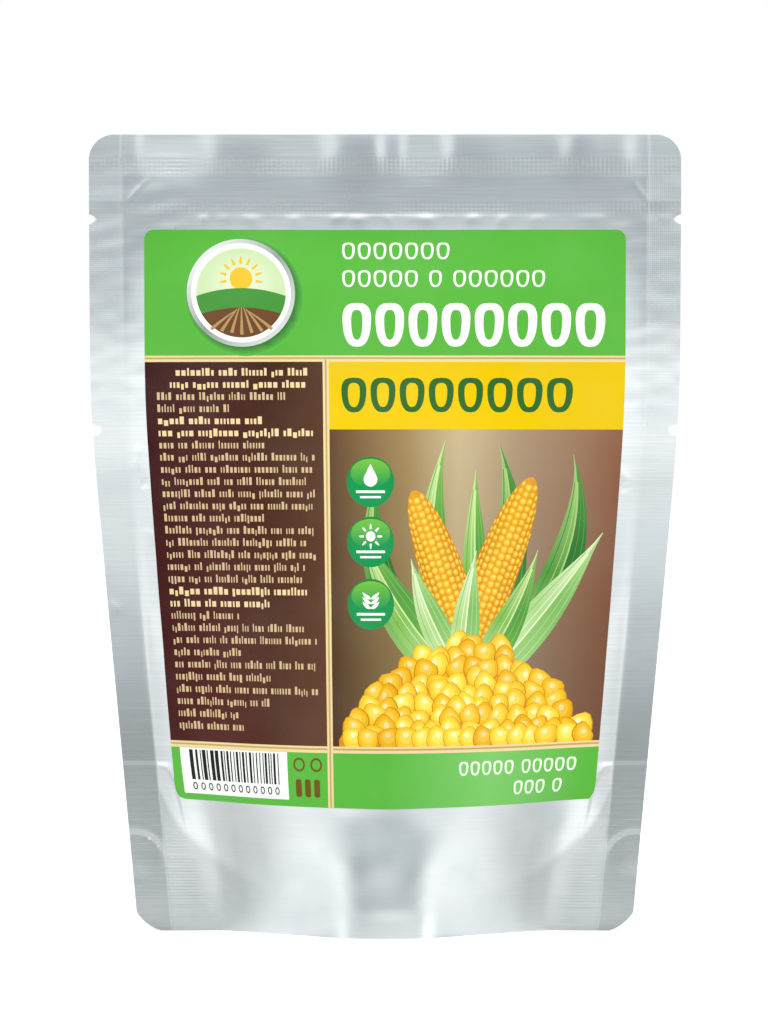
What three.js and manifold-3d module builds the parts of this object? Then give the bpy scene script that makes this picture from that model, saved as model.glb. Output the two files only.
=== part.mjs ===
// Stand-up retort pouch of sweet corn: a filled, sealed bag of aluminium foil film that stands on
// the skirts of its opened gusset, with an adhesive label on its front.
// Millimetres, +Z up. X runs across the pouch, the front faces -Y, and the origin is the middle of
// the base, on the surface that the pouch stands on.
//
// The film bends but hardly stretches. Across each height it keeps its flat length, so where the
// filling pushes the two panels apart, the side edges come in. A place on the film is given by its
// run, the distance from the upright centre line measured along the film, and its height z.

import * as THREE from "three";
import { mergeVertices } from "three/addons/utils/BufferGeometryUtils.js";
import Module from "manifold-3d";

// ---- The pouch, in mm
const POUCH_WIDTH = 140; // side edge to side edge, lying flat
const POUCH_HEIGHT = 188; // standing
const SIDE_SEAL = 8; // sealed strip down each side
const TOP_SEAL_FOOT = 169.2; // height where the panels part below the top seal
const FILL_HEIGHT = 126; // above it the panels lie almost on each other
const NARROWING = 0.0925; // how far each side edge comes in for each mm below the filling's top
const FILL_SOFTNESS = 6; // length over which that narrowing sets in
const HEADSPACE_SLACK = 0.1; // how far the air left above the filling draws each edge in
const HEADSPACE_RAMP = 32; // length below the top seal over which the panels part
const FIN_THICKNESS = 0.8; // of the sealed strips
const GUSSET_FIN_THICKNESS = 1.1; // of the side seals where they hold the gusset's films too
const SKIRT_THICKNESS = 1; // of the free film round the base

// ---- How the panel curves across the pouch
const BODY_TURN = 1.9; // radians of a sine that its slope follows from centre line to side seal
const BASE_BOW = 0.24; // share of the half panel over which the bottom edge rounds its middle
const BASE_FLAT = [0.76, 0.9]; // and between these shares it turns flat towards the side seal
const BASE_BLEND = 44; // height over which the bottom edge's curve becomes the body's

// ---- The gusset under the base
const GUSSET_HEIGHT = 39.5; // of its fold at the side seals
const GUSSET_STEP = 0.5; // half the height over which the side seals thin out above its fold
const BASE_SEAL = 8; // height of the seal between panel and gusset at the centre line
const SEAL_ROUNDNESS = 2.2; // power of the curve that this seal follows up to the gusset's fold
const GUSSET_SAG = -2.5; // where its middle would hang, were it not lying on the ground
const FOLD_BOW = 1.7; // power of the line that its fold follows up to the side seals
const BOWL_POWER = 2.6; // its section is a shallow bowl at the middle of the base
const ROOF_POWER = 1.15; // and a roof near the side seals
const HOLLOW_REACH = 51; // run where the hollow under it ends
const HOLLOW_WALL = [-0.5, 0, 0.3, 0.6, 0.85]; // heights down the skirt, in shares of the seal's
const SLIT = 0.15; // half the gap left where the skirts lie against each other
const BELOW = -2; // how far under the base the cutting shapes reach

// ---- What is cut out of the film's edges
const TOP_CORNER = { legX: 6, legZ: 6, radius: 6 };
const BASE_CORNER = { legX: 5.4, legZ: 4.4, radius: 9 };
const NOTCHES = [
  { z: 168, depth: 1.8, height: 1.7 },
  { z: 118.3, depth: 2.5, height: 2.7 },
];
const PUNCH = { z: 16.8, radius: 6.75, inset: 1.3, recess: 0.2 }; // where the gusset has a hole
const CUT_REACH = 6; // how far in front of and behind the fin the cutting shapes reach
const CUT_WASTE = 3; // and how far past its edges

// ---- The label
const LABEL = { width: 114, foot: 31.4, top: 165.6, corner: 2.3, thickness: 0.4, gap: 0.3 };
const LABEL_DIP = { depth: 1.2, height: 34 }; // its lower edge hangs at the middle of the bulge

// ---- How finely the curved film is divided
const SECTION_STEPS = 124;
const BISECTIONS = 40;
const PANEL_COLUMNS = 28;
const BASE_ROWS = 9;
const BODY_ROWS = 18;
const HOLLOW_COLUMNS = 22;
const GUSSET_STEPS = 12;
const LABEL_COLUMNS = 22;
const LABEL_ROWS = 20;
const CORNER_STEPS = 5;
const PUNCH_SIDES = 28;
const SAME_POINT = 1e-4; // points closer than this are one

const PANEL_HALF = POUCH_WIDTH / 2 - SIDE_SEAL;
const { clamp, lerp, smoothstep } = THREE.MathUtils;

const wasm = await Module();
wasm.setup();

// How far each side edge has come in at this height.
function drawnIn(z) {
  const below = FILL_SOFTNESS * Math.log1p(Math.exp((FILL_HEIGHT - z) / FILL_SOFTNESS));
  const parted = clamp((TOP_SEAL_FOOT - z) / HEADSPACE_RAMP, 0, 1);
  return (NARROWING * below + HEADSPACE_SLACK) * parted;
}

// Half the thickness of the sealed fin at this height.
function finHalf(z) {
  const gusset = smoothstep(z, GUSSET_HEIGHT - GUSSET_STEP, GUSSET_HEIGHT + GUSSET_STEP);
  return lerp(GUSSET_FIN_THICKNESS, FIN_THICKNESS, gusset) / 2;
}

const sections = new Map();

// The panel's curve at one height: a function of the run that gives x and the depth from the fin.
function section(z) {
  if (!sections.has(z)) sections.set(z, makeSection(z));
  return sections.get(z);
}

function makeSection(z) {
  const body = smoothstep(z, 0, BASE_BLEND);
  const step = PANEL_HALF / SECTION_STEPS;
  const slope = (i, peak) => {
    const share = (i + 0.5) / SECTION_STEPS;
    const atBase = smoothstep(share, 0, BASE_BOW) * (1 - smoothstep(share, ...BASE_FLAT));
    return peak * lerp(atBase, Math.sin(BODY_TURN * share), body);
  };

  const lostWith = (peak) => {
    let lost = 0;
    for (let i = 0; i < SECTION_STEPS; i++) lost += step * (1 - Math.cos(slope(i, peak)));
    return lost;
  };
  let low = 0;
  let high = Math.PI / 2;
  for (let i = 0; i < BISECTIONS; i++) {
    const middle = (low + high) / 2;
    if (lostWith(middle) < drawnIn(z)) low = middle;
    else high = middle;
  }

  const x = [0];
  const fallen = [0];
  for (let i = 0; i < SECTION_STEPS; i++) {
    x.push(x[i] + step * Math.cos(slope(i, low)));
    fallen.push(fallen[i] + step * Math.sin(slope(i, low)));
  }
  const crown = fallen[SECTION_STEPS];
  return (run) => {
    const place = Math.min(Math.abs(run), PANEL_HALF) / step;
    const i = Math.min(Math.floor(place), SECTION_STEPS - 1);
    const across = lerp(x[i], x[i + 1], place - i) + Math.max(0, Math.abs(run) - PANEL_HALF);
    const depth = crown - lerp(fallen[i], fallen[i + 1], place - i);
    return { x: Math.sign(run) * across, depth };
  };
}

// A point on the pouch's outside: side is -1 on the front panel and 1 on the back one.
function onPanel(run, side, z) {
  const { x, depth } = section(z)(run);
  return new THREE.Vector3(x, side * (finHalf(z) + depth), z);
}

const edgeX = (z) => section(z)(POUCH_WIDTH / 2).x;

const steps = (from, to, count) => Array.from({ length: count + 1 }, (_, i) => lerp(from, to, i / count));

// A closed solid through rows of points, each row a list of near points and one of far points.
function loft(rows) {
  const count = rows[0].near.length;
  const positions = rows.flatMap(({ near, far }) => [...near, ...far].flatMap((p) => p.toArray()));
  const near = (row, i) => 2 * count * row + i;
  const far = (row, i) => near(row, i) + count;
  const faces = [];
  const quad = (a, b, c, d) => faces.push(a, b, c, a, c, d);
  for (let row = 0; row < rows.length - 1; row++) {
    for (let i = 0; i < count - 1; i++) {
      quad(near(row, i), near(row, i + 1), near(row + 1, i + 1), near(row + 1, i));
      quad(far(row, i + 1), far(row, i), far(row + 1, i), far(row + 1, i + 1));
    }
    quad(far(row, 0), near(row, 0), near(row + 1, 0), far(row + 1, 0));
    const end = count - 1;
    quad(near(row, end), far(row, end), far(row + 1, end), near(row + 1, end));
  }
  const last = rows.length - 1;
  for (let i = 0; i < count - 1; i++) {
    quad(far(0, i), far(0, i + 1), near(0, i + 1), near(0, i));
    quad(near(last, i), near(last, i + 1), far(last, i + 1), far(last, i));
  }
  return new THREE.BufferGeometry()
    .setAttribute("position", new THREE.Float32BufferAttribute(positions, 3))
    .setIndex(faces);
}

function toManifold(geometry) {
  const bare = new THREE.BufferGeometry().setAttribute("position", geometry.getAttribute("position"));
  bare.setIndex(geometry.index);
  const merged = mergeVertices(bare, SAME_POINT);
  return new wasm.Manifold(
    new wasm.Mesh({
      numProp: 3,
      vertProperties: new Float32Array(merged.attributes.position.array),
      triVerts: new Uint32Array(merged.index.array),
    }),
  );
}

function toGeometry(manifold) {
  const { vertProperties, triVerts } = manifold.getMesh();
  const geometry = new THREE.BufferGeometry()
    .setAttribute("position", new THREE.BufferAttribute(vertProperties, 3))
    .setIndex(new THREE.BufferAttribute(triVerts, 1));
  geometry.computeVertexNormals();
  return geometry;
}

// A prism through the fin, along Y, whose outline is given in x and z.
function throughFin(outline, nearY = -CUT_REACH, farY = CUT_REACH) {
  const shape = new THREE.Shape(outline.map(([x, z]) => new THREE.Vector2(x, z)));
  const geometry = new THREE.ExtrudeGeometry(shape, { depth: farY - nearY, bevelEnabled: false });
  return toManifold(geometry.rotateX(Math.PI / 2).translate(0, farY, 0));
}

// What rounding takes off one corner of the film: side is 1 on the right, up is 1 at the top.
function cornerOffcut(side, up, { legX, legZ, radius }) {
  const z = up > 0 ? POUCH_HEIGHT : 0;
  const x = edgeX(z);
  const start = new THREE.Vector2(-legX, 0);
  const end = new THREE.Vector2(0, -legZ);
  const chord = end.clone().sub(start);
  const inward = new THREE.Vector2(chord.y, -chord.x).normalize();
  const centre = start.clone().add(end).divideScalar(2);
  centre.addScaledVector(inward, Math.sqrt(radius ** 2 - chord.lengthSq() / 4));
  const from = start.clone().sub(centre).angle();
  let to = end.clone().sub(centre).angle();
  if (to > from) to -= 2 * Math.PI;
  const arc = steps(from, to, CORNER_STEPS).map((a) => [
    centre.x + radius * Math.cos(a),
    centre.y + radius * Math.sin(a),
  ]);
  const outline = [...arc, [CUT_WASTE, -legZ], [CUT_WASTE, CUT_WASTE], [-legX, CUT_WASTE]];
  return throughFin(outline.map(([dx, dz]) => [side * (x + dx), z + up * dz]));
}

// A tear notch: a short slot in the side edge with a pointed end.
function notchOffcut(side, { z, depth, height }) {
  const edge = edgeX(z);
  const outline = [
    [edge + CUT_WASTE, z - height / 2],
    [edge + CUT_WASTE, z + height / 2],
    [edge - depth / 2, z + height / 2],
    [edge - depth, z],
    [edge - depth / 2, z - height / 2],
  ];
  return throughFin(outline.map(([x, up]) => [side * x, up]));
}

// The shallow round dent where the panels are sealed to each other through the gusset's hole.
function punchDent(side, face) {
  const { z, radius, inset, recess } = PUNCH;
  const circle = steps(0, 2 * Math.PI, PUNCH_SIDES).slice(0, -1);
  const x = edgeX(z) - inset;
  const outline = circle.map((a) => [side * (x + radius * Math.cos(a)), z + radius * Math.sin(a)]);
  const floor = finHalf(z) - recess;
  return face < 0 ? throughFin(outline, -CUT_REACH, -floor) : throughFin(outline, floor, CUT_REACH);
}

// Height of the curved seal that joins each panel to the gusset.
function sealHeight(run) {
  const share = Math.min(1, Math.abs(run) / PANEL_HALF);
  const fall = (1 - share ** SEAL_ROUNDNESS) ** (1 / SEAL_ROUNDNESS);
  return GUSSET_HEIGHT - (GUSSET_HEIGHT - BASE_SEAL) * fall;
}

// Height of the gusset's underside, side going from -1 at the front skirt to 1 at the back one.
function gussetHeight(run, side) {
  const share = Math.abs(run) / PANEL_HALF;
  const fold = lerp(GUSSET_SAG, GUSSET_HEIGHT, share ** FOLD_BOW);
  const power = lerp(BOWL_POWER, ROOF_POWER, smoothstep(share, 0.1, 0.5));
  const atSeal = sealHeight(run);
  return atSeal + (fold - atSeal) * (1 - Math.abs(side) ** power);
}

// A point between the skirts, side going from -1 at the front one to 1 at the back one.
function inHollow(run, side, z) {
  const { x, y } = onPanel(run, 1, Math.max(z, 0));
  return new THREE.Vector3(x, side * Math.max(SLIT, y - SKIRT_THICKNESS), z);
}

// The hollow under the base: up inside one skirt, over the gusset, and down inside the other.
function baseHollow() {
  const rows = steps(HOLLOW_REACH, -HOLLOW_REACH, HOLLOW_COLUMNS).map((run) => {
    const seal = sealHeight(run);
    const wall = HOLLOW_WALL.map((share) => (share < 0 ? share : share * seal));
    const near = [
      ...wall.map((z) => inHollow(run, -1, z)),
      ...steps(-1, 1, GUSSET_STEPS).map((side) => inHollow(run, side, gussetHeight(run, side))),
      ...wall.map((z) => inHollow(run, 1, z)).reverse(),
    ];
    const width = near.at(-1).y;
    const below = steps(-width, width, near.length - 1);
    return { near, far: near.map((p, i) => new THREE.Vector3(near[0].x, below[i], BELOW)) };
  });
  return toManifold(loft(rows));
}

function pouchGeometry() {
  const panel = steps(-PANEL_HALF, PANEL_HALF, PANEL_COLUMNS);
  const columns = [-POUCH_WIDTH / 2, ...panel, POUCH_WIDTH / 2];
  const heights = [
    ...steps(0, GUSSET_HEIGHT - GUSSET_STEP, BASE_ROWS),
    ...steps(GUSSET_HEIGHT + GUSSET_STEP, TOP_SEAL_FOOT, BODY_ROWS),
    POUCH_HEIGHT,
  ];
  const rows = heights.map((z) => ({
    near: columns.map((run) => onPanel(run, -1, z)),
    far: columns.map((run) => onPanel(run, 1, z)),
  }));
  let pouch = toManifold(loft(rows)).subtract(baseHollow());
  for (const side of [-1, 1]) {
    pouch = pouch.subtract(cornerOffcut(side, 1, TOP_CORNER));
    pouch = pouch.subtract(cornerOffcut(side, -1, BASE_CORNER));
    for (const notch of NOTCHES) pouch = pouch.subtract(notchOffcut(side, notch));
    for (const face of [-1, 1]) pouch = pouch.subtract(punchDent(side, face));
  }
  return toGeometry(pouch);
}

// A point that stands off the front panel by the given distance, square to it.
function offPanel(run, z, distance) {
  const nudge = 0.2;
  const across = onPanel(run + nudge, -1, z).sub(onPanel(run - nudge, -1, z));
  const up = onPanel(run, -1, z + nudge).sub(onPanel(run, -1, z - nudge));
  return onPanel(run, -1, z).addScaledVector(across.cross(up).normalize(), distance);
}

// The label lies on the front panel, with rounded corners.
function labelGeometry() {
  const { width, foot, top, corner, thickness, gap } = LABEL;
  const round = [0, 0.1, 0.35, 1].map((share) => share * corner);
  const heights = [
    ...round.map((dz) => foot + dz),
    ...steps(foot + corner, top - corner, LABEL_ROWS).slice(1, -1),
    ...round.map((dz) => top - dz).reverse(),
  ];
  const rows = heights.map((z) => {
    const toEnd = Math.min(corner, z - foot, top - z);
    const half = width / 2 - corner + Math.sqrt(corner ** 2 - (corner - toEnd) ** 2);
    const runs = steps(-half, half, LABEL_COLUMNS);
    const dip = LABEL_DIP.depth * Math.max(0, 1 - (z - foot) / LABEL_DIP.height);
    const at = (run, distance) => offPanel(run, z - dip * (1 - (2 * run / width) ** 2), distance);
    return {
      near: runs.map((run) => at(run, gap + thickness)),
      far: runs.map((run) => at(run, gap)),
    };
  });
  return toGeometry(toManifold(loft(rows)));
}

const foil = new THREE.MeshStandardMaterial({ color: 0xc9cfd1, roughness: 0.32, metalness: 1 });
const labelPaper = new THREE.MeshStandardMaterial({ color: 0x5fbd48, roughness: 0.35, metalness: 0 });

const pouch = new THREE.Mesh(pouchGeometry(), foil);
pouch.name = "pouch";

const label = new THREE.Mesh(labelGeometry(), labelPaper);
label.name = "label";

const cornPouch = new THREE.Group();
cornPouch.name = "sweet_corn_pouch";
cornPouch.add(pouch, label);

export default cornPouch;
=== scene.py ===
"""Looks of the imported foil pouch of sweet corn, for Blender 4.5.

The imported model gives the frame: a pouch that stands on its opened gusset, and a label on its
front. Each is replaced by sheets of real thickness: the front film, the back film and the gusset
film of the pouch, and the printed label. A place on a film is given by its run, the distance from
the upright centre line measured along the film, and by its height z, both in millimetres.
"""
import logging
import math
from collections.abc import Sequence
from dataclasses import dataclass, field
from enum import Enum

import bpy
import numpy as np
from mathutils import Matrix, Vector
from mathutils.geometry import delaunay_2d_cdt


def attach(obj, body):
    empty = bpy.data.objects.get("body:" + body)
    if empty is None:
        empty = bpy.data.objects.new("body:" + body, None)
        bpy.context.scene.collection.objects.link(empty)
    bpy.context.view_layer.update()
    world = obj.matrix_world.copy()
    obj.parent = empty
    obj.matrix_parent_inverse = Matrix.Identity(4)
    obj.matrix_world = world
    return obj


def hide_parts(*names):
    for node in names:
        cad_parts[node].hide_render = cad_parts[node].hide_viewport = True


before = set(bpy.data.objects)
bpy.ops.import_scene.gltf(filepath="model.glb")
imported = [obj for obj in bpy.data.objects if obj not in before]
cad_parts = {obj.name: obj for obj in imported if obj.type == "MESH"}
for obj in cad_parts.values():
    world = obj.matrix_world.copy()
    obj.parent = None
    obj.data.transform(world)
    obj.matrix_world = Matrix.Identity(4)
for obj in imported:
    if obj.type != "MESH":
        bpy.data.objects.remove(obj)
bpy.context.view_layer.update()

MM = 0.001
BODY = "root"
FILM_MAP = "film"
EMBOSS = "emboss"
INK = "ink"
SOFT = "SMOOTHSTEP"
SMOOTH_ANGLE = math.radians(38)

log = logging.getLogger("sweet_corn_pouch")

Array = np.ndarray
Point = tuple[float, float]
Colour = tuple[float, float, float]
Socket = bpy.types.NodeSocket


# ---- Small tools

def smoothstep(value: Array, low: float, high: float) -> Array:
    """Soft rise from 0 at low to 1 at high."""
    share = np.clip((value - low) / (high - low), 0.0, 1.0)
    return share * share * (3.0 - 2.0 * share)


def bell(distance: Array, width: float) -> Array:
    """Bell curve of height 1 that has fallen to 1/e at the given width."""
    return np.exp(-((distance / width) ** 2))


def lerp(start: Array, end: Array, share: Array) -> Array:
    """Straight mix of two values."""
    return start + (end - start) * share


def linear(*channels: float) -> Colour:
    """The linear colour, as shaders take it, of a screen colour from 0 to 255 a channel."""
    share = np.array(channels) / 255.0
    return tuple(np.where(share <= 0.04045, share / 12.92, ((share + 0.055) / 1.055) ** 2.4).tolist())


def grey(tone: float) -> tuple[float, float, float, float]:
    """A linear grey with its alpha."""
    return (tone, tone, tone, 1.0)


def graded(*stops: Point) -> Array:
    """Values from one stop to the next, each stretch with its own spacing.

    Args:
        stops: the places and, from the second one on, the spacing of the stretch that ends there.

    Returns:
        The rising values.
    """
    values = [stops[0][0]]
    for (start, _), (end, spacing) in zip(stops, stops[1:]):
        count = max(1, round((end - start) / spacing))
        values.extend(np.linspace(start, end, count + 1)[1:])
    return np.array(values)


def odd(values: Array) -> Array:
    """Adds one more value, halfway through the widest gap, where their number is even.

    Args:
        values: the rising values.

    Returns:
        The rising values, an odd number of them.
    """
    if len(values) % 2:
        return values
    widest = int(np.argmax(np.diff(values)))
    return np.insert(values, widest + 1, (values[widest] + values[widest + 1]) / 2)


def with_rows(base: Array, needed: Sequence[float], closest: float) -> Array:
    """Adds needed rows to evenly spaced ones, which give way where they lie closest or nearer.

    Args:
        base: the evenly spaced rows; the first and the last one stay.
        needed: the rows that have to be there.
        closest: the smallest gap that a base row keeps from a needed one.

    Returns:
        The rising rows, always an odd number of them.
    """
    needed = np.unique(np.round(needed, 4))
    gap = np.abs(base[:, None] - needed[None, :]).min(axis=1)
    gap[[0, -1]] = np.inf
    return odd(np.unique(np.round(np.concatenate([base[gap > closest], needed]), 4)))


# ---- The form of the filled pouch

class Side(Enum):
    """The two panels, by the sign of their Y."""

    FRONT = -1
    BACK = 1


@dataclass
class PouchForm:
    """The shape that the film takes: inextensible panels, parted by the filling."""

    width: float = 140.0
    height: float = 188.0
    side_seal: float = 8.0
    top_seal_foot: float = 169.2
    fill_height: float = 126.0
    narrowing: float = 0.0925
    fill_softness: float = 6.0
    headspace_slack: float = 0.1
    headspace_ramp: float = 32.0
    body_turn: float = 1.9
    base_bow: float = 0.24
    base_flat: Point = (0.76, 0.9)
    base_blend: float = 44.0
    fin_half: float = 0.14
    gusset_fin_half: float = 0.28
    fold_reach: Point = (54.0, 61.5)
    film: float = 0.12
    gusset_height: float = 39.5
    base_seal: float = 8.0
    seal_roundness: float = 2.2
    gusset_sag: float = -2.5
    fold_bow: float = 1.7
    bowl_power: float = 2.6
    roof_power: float = 1.15
    top_corner: float = 6.0
    base_corner: Point = (5.4, 4.4)
    base_corner_radius: float = 9.0
    notches: tuple[tuple[float, float, float], ...] = ((168.0, 1.8, 1.7), (118.3, 2.5, 2.7))
    table_step: float = 0.25
    _x: Array = field(init=False, repr=False)
    _depth: Array = field(init=False, repr=False)

    def __post_init__(self) -> None:
        """Works out the panel's curve at close steps of height."""
        heights = np.arange(0.0, self.height + self.table_step / 2, self.table_step)
        steps = round(self.panel_half / self.table_step)
        share = (np.arange(steps) + 0.5) / steps
        body = smoothstep(heights, 0.0, self.base_blend)[:, None]
        at_base = smoothstep(share, 0.0, self.base_bow) * (1.0 - smoothstep(share, *self.base_flat))
        shape = lerp(at_base[None, :], np.sin(self.body_turn * share)[None, :], body)
        low = np.zeros(len(heights))
        high = np.full(len(heights), math.pi / 2)
        for _ in range(40):
            middle = (low + high) / 2
            lost = self.panel_half * (1.0 - np.cos(middle[:, None] * shape)).mean(axis=1)
            short = lost < self.drawn_in(heights)
            low = np.where(short, middle, low)
            high = np.where(short, high, middle)
        slope = low[:, None] * shape
        step = self.panel_half / steps
        start = np.zeros((len(heights), 1))
        self._x = np.hstack([start, np.cumsum(step * np.cos(slope), axis=1)])
        fallen = np.hstack([start, np.cumsum(step * np.sin(slope), axis=1)])
        self._depth = fallen[:, -1:] - fallen

    @property
    def panel_half(self) -> float:
        """Run from the centre line to the side seal."""
        return self.width / 2 - self.side_seal

    def drawn_in(self, z: Array) -> Array:
        """How far each side edge has come in at this height.

        Args:
            z: height.

        Returns:
            The distances.
        """
        below = self.fill_softness * np.logaddexp(0.0, (self.fill_height - z) / self.fill_softness)
        parted = np.clip((self.top_seal_foot - z) / self.headspace_ramp, 0.0, 1.0)
        return (self.narrowing * below + self.headspace_slack) * parted

    def half_fin(self, away: Array, z: Array) -> Array:
        """Half the thickness of the sealed edge, which holds the gusset's film below its fold."""
        folded = 1.0 - smoothstep(z, self.gusset_height - 0.6, self.gusset_height + 0.4)
        return lerp(self.fin_half, self.gusset_fin_half, folded * smoothstep(away, *self.fold_reach))

    def _look_up(self, table: Array, run: Array, z: Array) -> Array:
        """Reads a table at places between its rows and columns.

        Args:
            table: values by steps of height and of run.
            run: distance from the centre line, without its sign.
            z: height.

        Returns:
            The values there.
        """
        row = np.clip(z / self.table_step, 0.0, table.shape[0] - 1.001)
        column = np.clip(run / self.table_step, 0.0, table.shape[1] - 1.001)
        i = row.astype(int)
        j = column.astype(int)
        low = lerp(table[i, j], table[i, j + 1], column - j)
        high = lerp(table[i + 1, j], table[i + 1, j + 1], column - j)
        return lerp(low, high, row - i)

    def bare_point(self, run: Array, z: Array, side: Side) -> Array:
        """A point on the outside of a panel, without its creases.

        Args:
            run: distance from the centre line along the film.
            z: height.
            side: the panel.

        Returns:
            The points, one row of three each.
        """
        away = np.abs(run)
        x = self._look_up(self._x, away, z) + np.maximum(0.0, away - self.panel_half)
        depth = self._look_up(self._depth, away, z)
        return np.stack([np.sign(run) * x, side.value * (self.half_fin(away, z) + depth), z], axis=-1)

    def bare_normal(self, run: Array, z: Array, side: Side) -> Array:
        """The direction square to that panel, out of the pouch.

        Args:
            run: distance from the centre line along the film.
            z: height.
            side: the panel.

        Returns:
            Unit vectors, one row of three each.
        """
        reach = 0.4
        above = np.minimum(z + reach, self.height)
        below = np.maximum(z - reach, 0.0)
        across = self.bare_point(run + reach, z, side) - self.bare_point(run - reach, z, side)
        up = self.bare_point(run, above, side) - self.bare_point(run, below, side)
        normal = np.cross(across, up) * -side.value
        return normal / np.linalg.norm(normal, axis=-1, keepdims=True)

    def seal_height(self, run: Array) -> Array:
        """Height of the curved seal that joins each panel to the gusset.

        Args:
            run: distance from the centre line along the film.

        Returns:
            The heights.
        """
        share = np.clip(np.abs(run) / self.panel_half, 0.0, 1.0)
        fall = (1.0 - share**self.seal_roundness) ** (1.0 / self.seal_roundness)
        return self.gusset_height - (self.gusset_height - self.base_seal) * fall

    def roof_height(self, run: Array, side: Array) -> Array:
        """Height of the gusset's underside between the skirts.

        Args:
            run: distance from the centre line along the film.
            side: -1 at the front skirt to 1 at the back one.

        Returns:
            The heights.
        """
        share = np.clip(np.abs(run) / self.panel_half, 0.0, 1.0)
        fold = lerp(self.gusset_sag, self.gusset_height, share**self.fold_bow)
        power = lerp(self.bowl_power, self.roof_power, smoothstep(share, 0.1, 0.5))
        at_seal = self.seal_height(run)
        return at_seal + (fold - at_seal) * (1.0 - np.abs(side) ** power)

    def edge_run(self, z: Array) -> Array:
        """Run of the film's cut edge: rounded corners and tear notches.

        Args:
            z: height.

        Returns:
            The runs.
        """
        edge = np.full(np.shape(z), self.width / 2)
        up = np.clip(z - (self.height - self.top_corner), 0.0, self.top_corner)
        edge = edge - self.top_corner + np.sqrt(self.top_corner**2 - up**2)
        leg_x, leg_z = self.base_corner
        chord = math.hypot(leg_x, leg_z)
        off = math.sqrt(self.base_corner_radius**2 - chord**2 / 4)
        centre_run = self.width / 2 - leg_x / 2 - leg_z / chord * off
        centre_z = leg_z / 2 + leg_x / chord * off
        down = np.minimum(z, leg_z) - centre_z
        cut = centre_run + np.sqrt(self.base_corner_radius**2 - down**2)
        edge = np.where(z < leg_z, np.minimum(edge, cut), edge)
        for centre, depth, height in self.notches:
            share = np.abs(z - centre) / (height / 2)
            edge = edge - np.where(share < 1.0, depth * (1.0 - share / 2), 0.0)
        return edge

    def edge_rows(self) -> list[float]:
        """Heights that the cut edge needs: its notches and the steps of its corners.

        Returns:
            The heights.
        """
        rows = []
        for centre, _, height in self.notches:
            half = height / 2
            rows += [centre + sign * reach for sign in (-1, 1) for reach in (half, half - 0.01, half / 2)]
            rows.append(centre)
        turns = np.linspace(0.0, math.pi / 2, 14)[:-1]
        rows += list(self.height - self.top_corner + self.top_corner * np.sin(turns))
        rows += list(np.linspace(0.0, self.base_corner[1], 9))
        return rows

    def to_edge(self, run: Array, z: Array) -> Array:
        """Draws the side seal's columns in, so that the last one runs along the cut edge.

        Args:
            run: distance from the centre line along the film.
            z: height.

        Returns:
            The runs, drawn in.
        """
        away = np.abs(run)
        share = np.maximum(0.0, away - self.panel_half) / self.side_seal
        drawn = self.panel_half + share * (self.edge_run(z) - self.panel_half)
        return np.sign(run) * np.where(away > self.panel_half, drawn, away)


# ---- Creases, seals and dents in the film

class Relief:
    """Something that lifts the film off its bare form, in mm, outwards."""

    def rise(self, run: Array, z: Array) -> Array:
        """Height of the relief at these places."""
        raise NotImplementedError


class Profile(Enum):
    """How a crease looks across."""

    RIDGE = "ridge"
    STEP = "step"
    FOLD = "fold"


@dataclass(frozen=True)
class Crease(Relief):
    """A line pressed into the film, which fades out at both ends."""

    path: tuple[Point, ...]
    height: float
    width: float
    profile: Profile = Profile.RIDGE
    fade: float = 0.25
    mirrored: bool = False

    def rise(self, run: Array, z: Array) -> Array:
        """Height of the crease at these places.

        Args:
            run: distance from the centre line along the film.
            z: height.

        Returns:
            The heights, outwards.
        """
        place = np.abs(run) if self.mirrored else run
        spot = np.stack([place, z], axis=-1)
        points = np.array(self.path)
        lengths = np.linalg.norm(np.diff(points, axis=0), axis=1)
        total = lengths.sum()
        nearest = np.full(np.shape(run), np.inf)
        across = np.zeros(np.shape(run))
        along = np.zeros(np.shape(run))
        before = 0.0
        for start, end, length in zip(points, points[1:], lengths):
            direction = (end - start) / length
            from_start = spot - start
            step = np.clip(from_start @ direction, 0.0, length)
            off = from_start - step[..., None] * direction
            distance = np.linalg.norm(off, axis=-1)
            closer = distance < nearest
            sign = np.sign(from_start[..., 0] * direction[1] - from_start[..., 1] * direction[0])
            nearest = np.where(closer, distance, nearest)
            across = np.where(closer, sign * distance, across)
            along = np.where(closer, before + step, along)
            before += length
        share = along / total
        taper = smoothstep(share, 0.0, self.fade) * (1.0 - smoothstep(share, 1.0 - self.fade, 1.0))
        if self.profile is Profile.RIDGE:
            shape = bell(nearest, self.width)
        elif self.profile is Profile.STEP:
            shape = np.tanh(across / self.width) * bell(nearest, self.width * 5)
        else:
            shape = np.exp(-nearest / self.width) * np.where(across > 0, 1.0, 0.55)
            shape = shape * bell(nearest, self.width * 4)
        return self.height * shape * taper


@dataclass(frozen=True)
class Dent(Relief):
    """A soft oval hollow, or a swelling where its height is above zero."""

    centre: Point
    reach: Point
    height: float
    turn: float = 0.0
    mirrored: bool = False

    def rise(self, run: Array, z: Array) -> Array:
        """Height of the dent at these places.

        Args:
            run: distance from the centre line along the film.
            z: height.

        Returns:
            The heights, outwards.
        """
        place = np.abs(run) if self.mirrored else run
        angle = math.radians(self.turn)
        across = (place - self.centre[0]) * math.cos(angle) + (z - self.centre[1]) * math.sin(angle)
        up = (z - self.centre[1]) * math.cos(angle) - (place - self.centre[0]) * math.sin(angle)
        return self.height * np.exp(-((across / self.reach[0]) ** 2) - (up / self.reach[1]) ** 2)


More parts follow.
